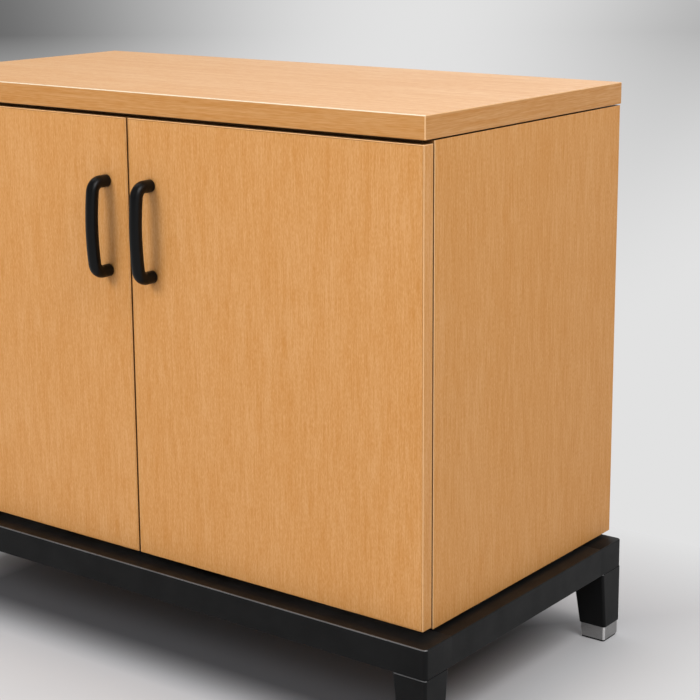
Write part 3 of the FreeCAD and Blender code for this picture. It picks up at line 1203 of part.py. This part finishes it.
# ---------------------------------------------------------------------------
# Build, check and write
# ---------------------------------------------------------------------------
make_worktop()
make_case()
make_shelf()
make_base()
make_legs()
for side_name, side_sign in SIDES.items():
    make_door(side_name, side_sign)
make_bumpers()
make_hinges()
doc.recompute()

for item in doc.Objects:
    if "Invalid" in item.State or "Error" in item.State:
        raise RuntimeError(f"{item.Label} is in state {item.State}")

os.makedirs("parts", exist_ok=True)
for item in NODES:
    shape = item.Shape
    if shape.isNull() or not shape.isValid() or not shape.Solids:
        raise RuntimeError(f"{item.Label} has no valid solid")
    shape.exportStep(f"parts/{item.Label}.step")
print(f"{len(NODES)} nodes written")
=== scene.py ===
"""Finishes, fittings, light and camera for the office credenza."""
import json
import math

import bpy
from mathutils import Matrix, Vector


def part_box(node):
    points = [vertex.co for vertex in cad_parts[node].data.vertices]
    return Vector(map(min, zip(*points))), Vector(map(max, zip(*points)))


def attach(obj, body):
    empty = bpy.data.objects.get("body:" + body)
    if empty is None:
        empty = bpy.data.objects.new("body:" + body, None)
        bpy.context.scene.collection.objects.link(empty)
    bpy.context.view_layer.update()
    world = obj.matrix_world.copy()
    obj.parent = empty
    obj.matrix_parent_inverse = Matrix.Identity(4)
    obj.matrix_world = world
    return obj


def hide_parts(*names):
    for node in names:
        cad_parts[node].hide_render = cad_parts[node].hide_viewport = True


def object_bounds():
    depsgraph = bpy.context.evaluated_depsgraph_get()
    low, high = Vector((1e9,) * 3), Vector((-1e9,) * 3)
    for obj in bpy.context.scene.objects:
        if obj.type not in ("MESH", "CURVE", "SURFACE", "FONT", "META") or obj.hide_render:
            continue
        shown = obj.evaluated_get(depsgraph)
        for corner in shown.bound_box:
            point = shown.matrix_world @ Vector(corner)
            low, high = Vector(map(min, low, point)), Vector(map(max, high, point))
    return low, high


MM = 0.001

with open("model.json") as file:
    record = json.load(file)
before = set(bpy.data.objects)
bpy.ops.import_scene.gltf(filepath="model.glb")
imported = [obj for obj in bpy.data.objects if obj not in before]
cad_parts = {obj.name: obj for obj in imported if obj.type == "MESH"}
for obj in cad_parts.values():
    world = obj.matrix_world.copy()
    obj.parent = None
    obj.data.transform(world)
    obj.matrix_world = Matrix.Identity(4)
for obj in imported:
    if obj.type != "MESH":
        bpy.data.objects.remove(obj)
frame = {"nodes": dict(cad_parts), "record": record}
cad_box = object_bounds()
NODES = frame["nodes"]
BODIES = frame["record"]["behaviour"]["bodies"]
BODY_OF = {node: body for body, nodes in BODIES.items() for node in nodes}
SIDES = ("left", "right")
CORNERS = ("front_left", "front_right", "back_left", "back_right")


# ---------------------------------------------------------------------------
# Node helpers
# ---------------------------------------------------------------------------
# Most of a noise lies between these two values, so what follows it runs from one to the other.
NOISE_LOW, NOISE_HIGH = 0.3, 0.7


def grey(tone):
    return (tone, tone, tone)


class Nodes:
    """A node tree with short ways to add and join nodes."""

    def __init__(self, tree):
        self.tree = tree

    def add(self, kind, **settings):
        node = self.tree.nodes.new("ShaderNode" + kind)
        for name, value in settings.items():
            setattr(node, name, value)
        return node

    def join(self, source, target):
        self.tree.links.new(source, target)

    def feed(self, socket, value):
        """Give a socket a number, a colour or the output of another node."""
        if isinstance(value, (int, float)):
            socket.default_value = value
        elif isinstance(value, tuple):
            socket.default_value = (*value, 1)
        else:
            self.join(value, socket)

    def place(self, offset=(0, 0, 0)):
        """A point's place on the object in metres, moved by an offset."""
        mapping = self.add("Mapping")
        mapping.inputs["Location"].default_value = offset
        self.join(self.add("TexCoord").outputs["Object"], mapping.inputs["Vector"])
        return mapping.outputs["Vector"]

    def mapped(self, vector, scale=(1, 1, 1), turn=(0, 0, 0)):
        """A vector scaled along its axes and turned about them."""
        mapping = self.add("Mapping")
        mapping.inputs["Scale"].default_value = scale
        mapping.inputs["Rotation"].default_value = turn
        self.join(vector, mapping.inputs["Vector"])
        return mapping.outputs["Vector"]

    def noise(self, vector, scale=1.0, detail=2.0, roughness=0.5, distortion=0.0):
        texture = self.add("TexNoise")
        settings = {"Scale": scale, "Detail": detail, "Roughness": roughness, "Distortion": distortion}
        for name, value in settings.items():
            texture.inputs[name].default_value = value
        self.join(vector, texture.inputs["Vector"])
        return texture.outputs["Fac"]

    def ramp(self, factor, stops, interpolation="LINEAR"):
        """Colours that follow a factor; each stop is a position and its colour."""
        ramp = self.add("ValToRGB")
        ramp.color_ramp.interpolation = interpolation
        elements = ramp.color_ramp.elements
        while len(elements) < len(stops):
            elements.new(0.5)
        for element, (position, colour) in zip(elements, stops):
            element.position = position
            element.color = (*colour, 1)
        self.join(factor, ramp.inputs["Fac"])
        return ramp.outputs["Color"]

    def remap(self, value, low, high, new_low=0, new_high=1):
        """A value's range stretched to a new one, and held at its ends."""
        node = self.add("MapRange")
        ends = {"From Min": low, "From Max": high, "To Min": new_low, "To Max": new_high}
        for name, number in ends.items():
            node.inputs[name].default_value = number
        self.join(value, node.inputs["Value"])
        return node.outputs["Result"]

    def maths(self, operation, *values):
        node = self.add("Math", operation=operation)
        for socket, value in zip(node.inputs, values):
            self.feed(socket, value)
        return node.outputs["Value"]

    def blend(self, factor, first, second, mode="MIX"):
        node = self.add("MixRGB", blend_type=mode)
        for socket, value in zip(node.inputs, (factor, first, second)):
            self.feed(socket, value)
        return node.outputs["Color"]


class Shader(Nodes):
    """A material's nodes, which feed its Principled surface."""

    def __init__(self, name):
        self.material = bpy.data.materials.new(name)
        self.material.use_nodes = True
        super().__init__(self.material.node_tree)
        self.surface = self.tree.nodes["Principled BSDF"]
        self.output = self.tree.nodes["Material Output"]

    def bump(self, height, strength, distance):
        node = self.add("Bump")
        node.inputs["Strength"].default_value = strength
        node.inputs["Distance"].default_value = distance
        self.join(height, node.inputs["Height"])
        self.join(node.outputs["Normal"], self.surface.inputs["Normal"])

    def mottled(self, factor, colour, spread, roughness, change):
        """Colour and roughness that wander a little with one noise."""
        dark, light = (tuple(min(1, share * part) for part in colour) for share in (1 - spread, 1 + spread))
        tones = self.ramp(factor, [(NOISE_LOW, dark), (NOISE_HIGH, light)])
        dullness = self.remap(factor, NOISE_LOW, NOISE_HIGH, roughness + change, roughness - change)
        self.join(tones, self.surface.inputs["Base Color"])
        self.join(dullness, self.surface.inputs["Roughness"])

    def set(self, **numbers):
        for name, value in numbers.items():
            self.surface.inputs[name.replace("_", " ")].default_value = value


# ---------------------------------------------------------------------------
# Wood laminate
# ---------------------------------------------------------------------------
WOOD_TONES = ((0.2, (0.614, 0.264, 0.064)), (0.5, (0.668, 0.318, 0.099)), (0.8, (0.722, 0.372, 0.142)))
# Tints of the laminate. DEEPER, on the worktop's edge band, is partly its own darker tone and partly
# painted shade; PALER, on the worktop's top, is partly its own yellower tone and partly painted light, and
# on the dowels their paler beech.
PLAIN, DEEPER, PALER = (1, 1, 1), (0.88, 0.88, 0.88), (1.15, 1.20, 1.16)
# Each layer of the grain: width across and length along the fibres in mm, and its weight.
GRAIN = ((30, 200, 0.34), (10, 110, 0.30), (4, 80, 0.42), (1.8, 36, 0.90), (1.0, 5, 1.10))
DARK_FIBRE_ROUGHNESS, PALE_FIBRE_ROUGHNESS = 0.44, 0.36
# Painted shade: wood is darkened where something that stands closer than this leaves less than the first
# share of its surroundings open, and has its full colour from the second share on.
PAINTED_SHADE_REACH = 14 * MM
SHUT_IN, OPEN = 0.2, 0.7
PAINTED_SHADE_TONE = 0.12
# Moves the grain in metres, so that the left and the right boards aren't the same.
GRAIN_SHIFT = {"left": 0.37, "right": 0.05}


def painted_gap_shade(shader, colour):
    """Darken a colour where something stands close, as painted shade in narrow gaps and close corners."""
    nearby = shader.add("AmbientOcclusion", samples=4)
    nearby.inputs["Distance"].default_value = PAINTED_SHADE_REACH
    openness = shader.remap(nearby.outputs["AO"], SHUT_IN, OPEN, PAINTED_SHADE_TONE, 1)
    return shader.blend(1.0, colour, openness, "MULTIPLY")


def wood(shader, vector, axis, tint=PLAIN, gloss=0.2, stretch=1.0, figure=1.0):
    """Straight grain in layers, from broad soft bands down to fibres and flecks."""
    tone = 0.5
    for width, length, weight in GRAIN:
        scale = tuple(1 / ((length * stretch if name == axis else width) * MM) for name in "XYZ")
        fibres = shader.noise(shader.mapped(vector, scale), detail=1.5, distortion=0.12)
        tone = shader.maths("MULTIPLY_ADD", shader.maths("SUBTRACT", fibres, 0.5), weight * figure, tone)
    stops = [(place, tuple(part * t for part, t in zip(colour, tint))) for place, colour in WOOD_TONES]
    colour = shader.ramp(tone, stops)
    dullness = shader.remap(tone, NOISE_LOW, NOISE_HIGH, DARK_FIBRE_ROUGHNESS, PALE_FIBRE_ROUGHNESS)
    # The colour carries painted shade where something stands close.
    shader.join(painted_gap_shade(shader, colour), shader.surface.inputs["Base Color"])
    shader.join(dullness, shader.surface.inputs["Roughness"])
    shader.bump(tone, strength=0.10, distance=0.2 * MM)
    shader.set(Specular_IOR_Level=gloss)


def laminate(name, axis, offset, tint=PLAIN, gloss=0.2, stretch=1.0, figure=1.0, coat=0.0):
    """Board laminate with the grain along one axis; coat is the weight of its clear top layer."""
    shader = Shader(name)
    wood(shader, shader.place(offset), axis, tint, gloss, stretch, figure)
    shader.set(Coat_Weight=coat, Coat_Roughness=0.4)
    return shader.material


def edge_band(name, low, high, long_axis, cross_axis, tint=PLAIN, stretch=1.0):
    """Edge band round a board: its grain follows each side of the board and meets at the corners."""
    shader = Shader(name)
    split = shader.add("SeparateXYZ")
    shader.join(shader.place(), split.inputs["Vector"])
    to_edge = {}
    for axis in (long_axis, cross_axis):
        index = "XYZ".index(axis)
        middle, half = (low[index] + high[index]) / 2, (high[index] - low[index]) / 2
        away = shader.maths("ABSOLUTE", shader.maths("SUBTRACT", split.outputs[axis], middle))
        to_edge[axis] = shader.maths("SUBTRACT", half, away)
    on_end = shader.maths("LESS_THAN", to_edge[long_axis], to_edge[cross_axis])
    # On the ends the grain's two axes change places, so one grain serves all sides.
    other = {long_axis: cross_axis, cross_axis: long_axis}
    join = shader.add("CombineXYZ")
    for axis in "XYZ":
        chosen = shader.add("Mix", data_type="FLOAT")
        shader.join(on_end, chosen.inputs["Factor"])
        shader.join(split.outputs[axis], chosen.inputs["A"])
        shader.join(split.outputs[other.get(axis, axis)], chosen.inputs["B"])
        shader.join(chosen.outputs["Result"], join.inputs[axis])
    wood(shader, join.outputs["Vector"], long_axis, tint, stretch=stretch)
    return shader.material


def painted_arris_highlight(name, colour, gloss, roughness=0.22):
    """The rounded arris of an edge band, painted paler than the faces beside it as a painted highlight."""
    shader = Shader(name)
    place = shader.place()
    highlight_flecks = shader.noise(place, scale=160, detail=3, roughness=0.6)
    shader.mottled(highlight_flecks, colour, spread=0.06, roughness=roughness, change=0.05)
    shader.bump(shader.noise(place, scale=900), strength=0.05, distance=0.1 * MM)
    shader.set(Specular_IOR_Level=gloss)
    return shader.material


# ---------------------------------------------------------------------------
# Metals and plastics
# ---------------------------------------------------------------------------
# How often the brush marks change in a metre along each axis.
BRUSHED_LEVEL, BRUSHED_ALONG_Y, TUMBLED = (60, 60, 2200), (500, 90, 500), (400, 400, 400)


def powder_coat(name, colour, roughness, gloss, peel=0.06):
    """Satin powder coat with a faint orange peel."""
    shader = Shader(name)
    place = shader.place()
    cloud = shader.noise(place, scale=22, detail=3, roughness=0.6)
    shader.mottled(cloud, colour, spread=0.2, roughness=roughness, change=0.04)
    shader.bump(shader.noise(place, scale=1400), strength=peel, distance=0.2 * MM)
    shader.set(Specular_IOR_Level=gloss)
    return shader.material


def brushed(name, colour, marks_per_metre, roughness):
    """Metal with fine brush marks."""
    shader = Shader(name)
    marks = shader.noise(shader.mapped(shader.place(), marks_per_metre), detail=4, roughness=0.7)
    shader.mottled(marks, colour, spread=0.15, roughness=roughness, change=0.06)
    shader.bump(marks, strength=0.10, distance=0.1 * MM)
    shader.set(Metallic=1.0)
    return shader.material


def moulded(name, colour, roughness, gloss=0.5):
    """Moulded plastic or rubber with a fine erosion grain."""
    shader = Shader(name)
    place = shader.place()
    shader.mottled(shader.noise(place, scale=40), colour, spread=0.15, roughness=roughness, change=0.05)
    grain = shader.noise(place, scale=700, detail=3, roughness=0.6)
    shader.bump(grain, strength=0.15, distance=0.1 * MM)
    shader.set(Specular_IOR_Level=gloss)
    return shader.material


# ---------------------------------------------------------------------------
# Pieces
# ---------------------------------------------------------------------------
WELD = 0.01 * MM
SMOOTH_BELOW = math.radians(32)
# A face is flat, and no arris, when its normal follows an axis at least this closely.
FLAT = 0.985
# How far the normal of an arris leans towards a side that it faces.
LEAN = 0.15
# Arrises nearer than this to the middle of the front are where the doors meet.
MEETING = 10 * MM


def choose(piece):
    """Make a piece the only one that is selected and the active one."""
    bpy.ops.object.select_all(action="DESELECT")
    piece.select_set(True)
    bpy.context.view_layer.objects.active = piece


def finish_in(piece, material, arrises=()):
    """Put a piece in its finish, and each arris, picked by a test on its faces, in a finish of its own,
    which carries a painted highlight.
    """
    piece.data.materials.clear()
    for finish in (material, *(finish for finish, test in arrises)):
        piece.data.materials.append(finish)
    for face in piece.data.polygons:
        leaning = max(abs(part) for part in face.normal) < FLAT
        tests = [leaning and test(face) for finish, test in arrises]
        face.material_index = tests.index(True) + 1 if any(tests) else 0


# These tests pick the arrises whose paler, glossier finish is a painted highlight.
def front_top(face):
    return face.normal.y < -LEAN and face.normal.z > LEAN


def upright(face):
    return abs(face.normal.z) < LEAN


def outer(face):
    """Arrises that show from the front, top and sides, but not where the doors meet or below."""
    return face.normal.z > -LEAN and abs(face.center.x) > MEETING


def smoothed(node, name, material, arrises=()):
    """A welded copy of a CAD node with smooth curved faces, standing in its place."""
    piece = bpy.data.objects.new(name, NODES[node].data.copy())
    bpy.context.scene.collection.objects.link(piece)
    choose(piece)
    bpy.ops.object.mode_set(mode="EDIT")
    bpy.ops.mesh.select_all(action="SELECT")
    bpy.ops.mesh.remove_doubles(threshold=WELD)
    bpy.ops.object.mode_set(mode="OBJECT")
    bpy.ops.object.shade_smooth_by_angle(angle=SMOOTH_BELOW)
    weighting = piece.modifiers.new("even_faces", "WEIGHTED_NORMAL")
    weighting.keep_sharp = True
    bpy.ops.object.modifier_apply(modifier=weighting.name)
    finish_in(piece, material, arrises)
    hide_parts(node)
    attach(piece, BODY_OF[node])


def dress_worktop(board_painted_highlight):
    # The paler arris finishes are painted highlights.
    front_top_painted_highlight = (painted_arris_highlight("worktop_arris_painted_highlight", (0.86, 0.72, 0.52), gloss=0.35), front_top)
    # The top's paler tint is partly its own yellower tone and partly painted light; the band's deeper tint
    # is partly its own tone and partly painted shade.
    top = laminate("worktop_laminate", "X", (0.31, 0.12, 0), PALER,
                   gloss=0.55, stretch=2.5, figure=1.9, coat=0.36)
    band = edge_band("worktop_band", *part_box("worktop_edging"), "X", "Y", DEEPER, stretch=4)
    finish_in(NODES["worktop_panel"], top)
    smoothed("worktop_edging", "worktop_edge_band", band, [front_top_painted_highlight, board_painted_highlight])


def dress_boards():
    # The paler arris finishes are painted highlights.
    board_painted_highlight = (painted_arris_highlight("board_painted_highlight", (0.84, 0.50, 0.24), gloss=0.4), outer)
    seam_painted_highlight = (painted_arris_highlight("seam_painted_highlight", (0.90, 0.55, 0.27), gloss=0.1, roughness=0.4), outer)
    dress_worktop(board_painted_highlight)

    for side, shift in GRAIN_SHIFT.items():
        finish_in(NODES[f"door_{side}"], laminate(f"door_laminate_{side}", "Z", (shift, 0.2, shift)))
        band = edge_band(f"door_band_{side}", *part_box(f"door_edging_{side}"), "Z", "X")
        smoothed(f"door_edging_{side}", f"door_edge_band_{side}", band, [board_painted_highlight])
        panel = laminate(f"side_laminate_{side}", "Z", (0.2, shift, 0.6), gloss=0.1)
        finish_in(NODES[f"side_panel_{side}"], panel)
        smoothed(f"side_edging_{side}", f"side_edge_band_{side}", panel, [seam_painted_highlight])

    lying = laminate("shelf_laminate", "X", (0.4, 0.1, 0.2))
    for node in ("bottom_panel", "front_rail", "back_rail", "shelf"):
        finish_in(NODES[node], lying)
    for node in ("bottom_edging", "rail_edging", "shelf_edging"):
        smoothed(node, node.replace("edging", "edge_band"), lying)
    finish_in(NODES["back_panel"], laminate("back_laminate", "Z", (0.9, 0.3, 0.2)))
    smoothed("dowels", "beech_dowels", laminate("dowel_beech", "X", (0.1, 0.2, 0.3), PALER))


def dress_base():
    coat = powder_coat("black_powder_coat", (0.0066, 0.0067, 0.0069), 0.42, gloss=0.10)
    # The paler, glossier arris finishes of the coat and of the steel are painted highlights.
    coat_painted_highlight = powder_coat("coat_arris_painted_highlight", (0.09, 0.09, 0.092), 0.28, gloss=0.8)
    steel = brushed("ferrule_steel", (0.33, 0.325, 0.32), BRUSHED_LEVEL, 0.30)
    steel_painted_highlight = brushed("ferrule_painted_highlight", (0.85, 0.84, 0.83), BRUSHED_LEVEL, 0.22)
    rubber = moulded("glide_plastic", (0.004, 0.004, 0.004), 0.6, gloss=0.2)
    for rail in ("front", "back", "left", "right", "middle"):
        smoothed(f"base_rail_{rail}", f"base_rail_{rail}_coated", coat, [(coat_painted_highlight, front_top)])
    for corner in CORNERS:
        smoothed(f"leg_{corner}", f"leg_{corner}_coated", coat, [(coat_painted_highlight, front_top)])
        smoothed(f"ferrule_{corner}", f"ferrule_{corner}_brushed", steel, [(steel_painted_highlight, upright)])
    smoothed("glides", "foot_glides", rubber)
    smoothed("worktop_packers", "worktop_spacer_discs", rubber)
    finish_in(NODES["base_packers"], rubber)


def dress_fittings():
    black = powder_coat("handle_black", (0.0022, 0.0023, 0.0025), 0.31, gloss=0.17, peel=0.03)
    nickel = brushed("nickel_plate", (0.62, 0.60, 0.57), BRUSHED_ALONG_Y, 0.24)
    zinc = brushed("zinc_plate", (0.60, 0.61, 0.63), TUMBLED, 0.32)
    for side in SIDES:
        smoothed(f"handle_{side}", f"bow_handle_{side}", black)
        for part in ("cups", "pins", "arms", "plates"):
            smoothed(f"hinge_{part}_{side}", f"hinge_{part}_{side}_plated", nickel)
        for part in ("handle_screws", "hinge_cup_screws", "hinge_plate_screws"):
            smoothed(f"{part}_{side}", f"{part}_{side}_plated", zinc)
    case_fittings = ("cam_locks", "cam_bolts", "back_panel_screws", "worktop_screws", "base_screws",
                     "leg_bolts")
    for part in case_fittings:
        smoothed(part, f"{part}_plated", zinc)
    smoothed("shelf_pins", "shelf_pins_plated", nickel)
    smoothed("door_bumpers", "door_buffer_pads", moulded("clear_pad", (0.55, 0.54, 0.50), 0.45))


# ---------------------------------------------------------------------------
# Floor and surroundings
# ---------------------------------------------------------------------------
PALE = 0.76
FLOOR_RADIUS = 60
FLOOR_COLOUR = (0.59, 0.585, 0.60)
# The floor carries a darker painted shadow under the object. In each direction, how far beyond the object's
# box the painted shadow ends, and then how far beyond it the floor fades to the plain pale tone.
PAINTED_SHADOW_TONE = (0.235, 0.24, 0.25)
PAINTED_SHADOW_ENDS = {"X": (-0.13, -0.04), "Y": (-0.075, 0.025)}
FADES = {"X": (-0.06, 0.30), "Y": (0, 0.4)}
# The far floor darkens towards both sides of the studio as painted shade; the studio lies to the back
# left of the object. Each tone stands at its place across the studio over its distance into it.
STUDIO_TURN = math.radians(37)
NEAREST = 0.1
FAR_TONES = ((-0.41, 0.76), (-0.305, 0.08), (-0.21, 0.14), (-0.13, 0.36), (-0.036, 0.70),
             (0.058, 0.79), (0.14, 0.70), (0.222, 0.48), (0.304, 0.40), (0.43, 0.76))
FAR_BEGINS, FAR_ENDS = 1.4, 12.4
# A ramp runs from 0 to 1, so the middle of the studio lies here on it.
RAMP_MIDDLE = 0.5
# The light of the surroundings, and what glossy surfaces mirror of them from left to right.
SURROUNDINGS = 0.45
MIRRORED_PLACES, MIRRORED_TONES = (-0.25, 0.15), (0.30, 0.94)


def seen_only(nodes):
    """1 for what the eye or a reflection sees, 0 for the light that the surface gives off."""
    path = nodes.add("LightPath")
    return nodes.maths("MAXIMUM", path.outputs["Is Camera Ray"], path.outputs["Is Glossy Ray"])


def across_studio(nodes, vector):
    """How far across the studio a place or a direction lies over how far into it, and the latter."""
    split = nodes.add("SeparateXYZ")
    nodes.join(nodes.mapped(vector, turn=(0, 0, -STUDIO_TURN)), split.inputs["Vector"])
    depth = nodes.maths("MAXIMUM", split.outputs["Y"], NEAREST)
    return nodes.maths("DIVIDE", split.outputs["X"], depth), split.outputs["Y"]


def beside_object(shader, place):
    """How free of the object a place on the floor is, from 0 to 1: of its painted shadow, and of its light.
    """
    spot = shader.add("SeparateXYZ")
    shader.join(place, spot.inputs["Vector"])
    out_of_painted_shadow, faded = [], []
    for axis, lowest, highest in zip("XY", *cad_box):
        middle, half = (lowest + highest) / 2, (highest - lowest) / 2
        away = shader.maths("ABSOLUTE", shader.maths("SUBTRACT", spot.outputs[axis], middle))
        beyond = shader.maths("SUBTRACT", away, half)
        out_of_painted_shadow.append(shader.remap(beyond, *PAINTED_SHADOW_ENDS[axis]))
        faded.append(shader.remap(beyond, *FADES[axis]))
    return shader.maths("MAXIMUM", *out_of_painted_shadow), shader.maths("MAXIMUM", *faded)


def plain_tone(shader, place):
    """Plain pale tone of the floor, with painted shade that darkens it at the far sides of the studio."""
    slope, depth = across_studio(shader, place)
    stops = [(position + RAMP_MIDDLE, grey(tone)) for position, tone in FAR_TONES]
    far_tone = shader.ramp(shader.maths("ADD", slope, RAMP_MIDDLE), stops, "B_SPLINE")
    return shader.blend(shader.remap(depth, FAR_BEGINS, FAR_ENDS), grey(PALE), far_tone)


def add_floor():
    """Wide pale floor: lit near the object with a painted shadow under it, and in its plain tone further
    out.
    """
    bpy.ops.mesh.primitive_circle_add(vertices=96, radius=FLOOR_RADIUS, fill_type="NGON",
                                      location=(0, 0, 0))
    floor = bpy.context.object
    floor.name = "studio_floor"
    shader = Shader("studio_floor")
    place = shader.place()
    out_of_painted_shadow, faded = beside_object(shader, place)
    cloud = shader.noise(place, scale=3, detail=3)
    shader.mottled(cloud, FLOOR_COLOUR, spread=0.01, roughness=0.65, change=0.04)
    # Painted shadow: the floor's colour darkens under the object.
    tint = shader.blend(out_of_painted_shadow, PAINTED_SHADOW_TONE, grey(1.0))
    colour = shader.surface.inputs["Base Color"]
    shader.join(shader.blend(1.0, colour.links[0].from_socket, tint, "MULTIPLY"), colour)
    shader.set(Specular_IOR_Level=0.1)

    glow = shader.add("Emission")
    shader.join(plain_tone(shader, place), glow.inputs["Color"])
    mix = shader.add("MixShader")
    shader.join(shader.maths("MULTIPLY", faded, seen_only(shader)), mix.inputs["Fac"])
    shader.join(shader.surface.outputs["BSDF"], mix.inputs[1])
    shader.join(glow.outputs["Emission"], mix.inputs[2])
    shader.join(mix.outputs["Shader"], shader.output.inputs["Surface"])
    floor.data.materials.append(shader.material)


def add_world():
    """Dim soft surroundings: plain pale where they are seen, mirrored darker towards the left."""
    world = bpy.data.worlds.new("studio")
    bpy.context.scene.world = world
    world.use_nodes = True
    nodes = Nodes(world.node_tree)
    background = world.node_tree.nodes["Background"]
    background.inputs["Color"].default_value = (1, 1, 1, 1)
    slope, _ = across_studio(nodes, nodes.add("TexCoord").outputs["Generated"])
    mirrored = nodes.remap(slope, *MIRRORED_PLACES, *MIRRORED_TONES)
    path = nodes.add("LightPath")
    tone = nodes.blend(path.outputs["Is Glossy Ray"], grey(SURROUNDINGS), mirrored)
    tone = nodes.blend(path.outputs["Is Camera Ray"], tone, grey(PALE))
    nodes.join(tone, background.inputs["Strength"])


# ---------------------------------------------------------------------------
# Lamps and camera
# ---------------------------------------------------------------------------
# Name, place, target, size in metres, power in watts and whether glossy surfaces mirror it. The
# large front softbox would glare in the worktop from behind, so a small one in its place gives
# the glints.
LAMPS = (
    ("front_softbox", (-0.9, -3.9, 3.0), (0, -0.1, 0.45), (2.0, 2.0), 80, False),
    ("front_glint", (-0.9, -3.9, 3.0), (0, -0.1, 0.45), (0.8, 0.8), 22, True),
    ("right_softbox", (2.6, -0.8, 3.0), (0.3, 0, 0.45), (1.8, 1.8), 60, True),
    ("overhead_softbox", (-0.9, 0.5, 3.1), (-0.2, 0.1, 0.4), (2.4, 2.0), 22, True),
)
CAMERA_PLACE = Vector((1.7369, -2.0096, 1.0823))
CAMERA_YAW, CAMERA_PITCH, CAMERA_ROLL = (math.radians(angle) for angle in (37.136, -11.971, -0.336))
# In pixels: the picture's side, the focal length, and the height at which the lens looks ahead.
PICTURE, FOCAL_LENGTH, PRINCIPAL_Y = 700, 1795.68, 281.4
SENSOR_WIDTH = 36


def add_lamps():
    for name, place, target, size, power, mirrored in LAMPS:
        light = bpy.data.lights.new(name, "AREA")
        light.shape = "RECTANGLE"
        light.size, light.size_y = size
        light.energy = power
        lamp = bpy.data.objects.new(name, light)
        bpy.context.scene.collection.objects.link(lamp)
        lamp.location = place
        lamp.rotation_euler = (Vector(target) - Vector(place)).to_track_quat("-Z", "Y").to_euler()
        lamp.visible_glossy = mirrored


def add_camera():
    """Camera in front of the right corner, a little above the worktop and looking down."""
    yaw, pitch, roll = CAMERA_YAW, CAMERA_PITCH, CAMERA_ROLL
    ahead = Vector((-math.sin(yaw) * math.cos(pitch), math.cos(yaw) * math.cos(pitch), math.sin(pitch)))
    level = Vector((math.cos(yaw), math.sin(yaw), 0))
    above = level.cross(ahead)
    right = math.cos(roll) * level + math.sin(roll) * above
    up = -math.sin(roll) * level + math.cos(roll) * above
    camera = bpy.data.objects.new("camera", bpy.data.cameras.new("camera"))
    bpy.context.scene.collection.objects.link(camera)
    turn = Matrix((right, up, -ahead)).transposed()
    camera.matrix_world = Matrix.Translation(CAMERA_PLACE) @ turn.to_4x4()
    camera.data.sensor_width = SENSOR_WIDTH
    camera.data.lens = FOCAL_LENGTH / PICTURE * SENSOR_WIDTH
    camera.data.shift_y = (PRINCIPAL_Y - PICTURE / 2) / PICTURE
    camera.data.clip_end = 200
    bpy.context.scene.camera = camera


dress_boards()
dress_base()
dress_fittings()
add_floor()
add_world()
add_lamps()
add_camera()
bpy.context.scene.view_settings.view_transform = "Standard"
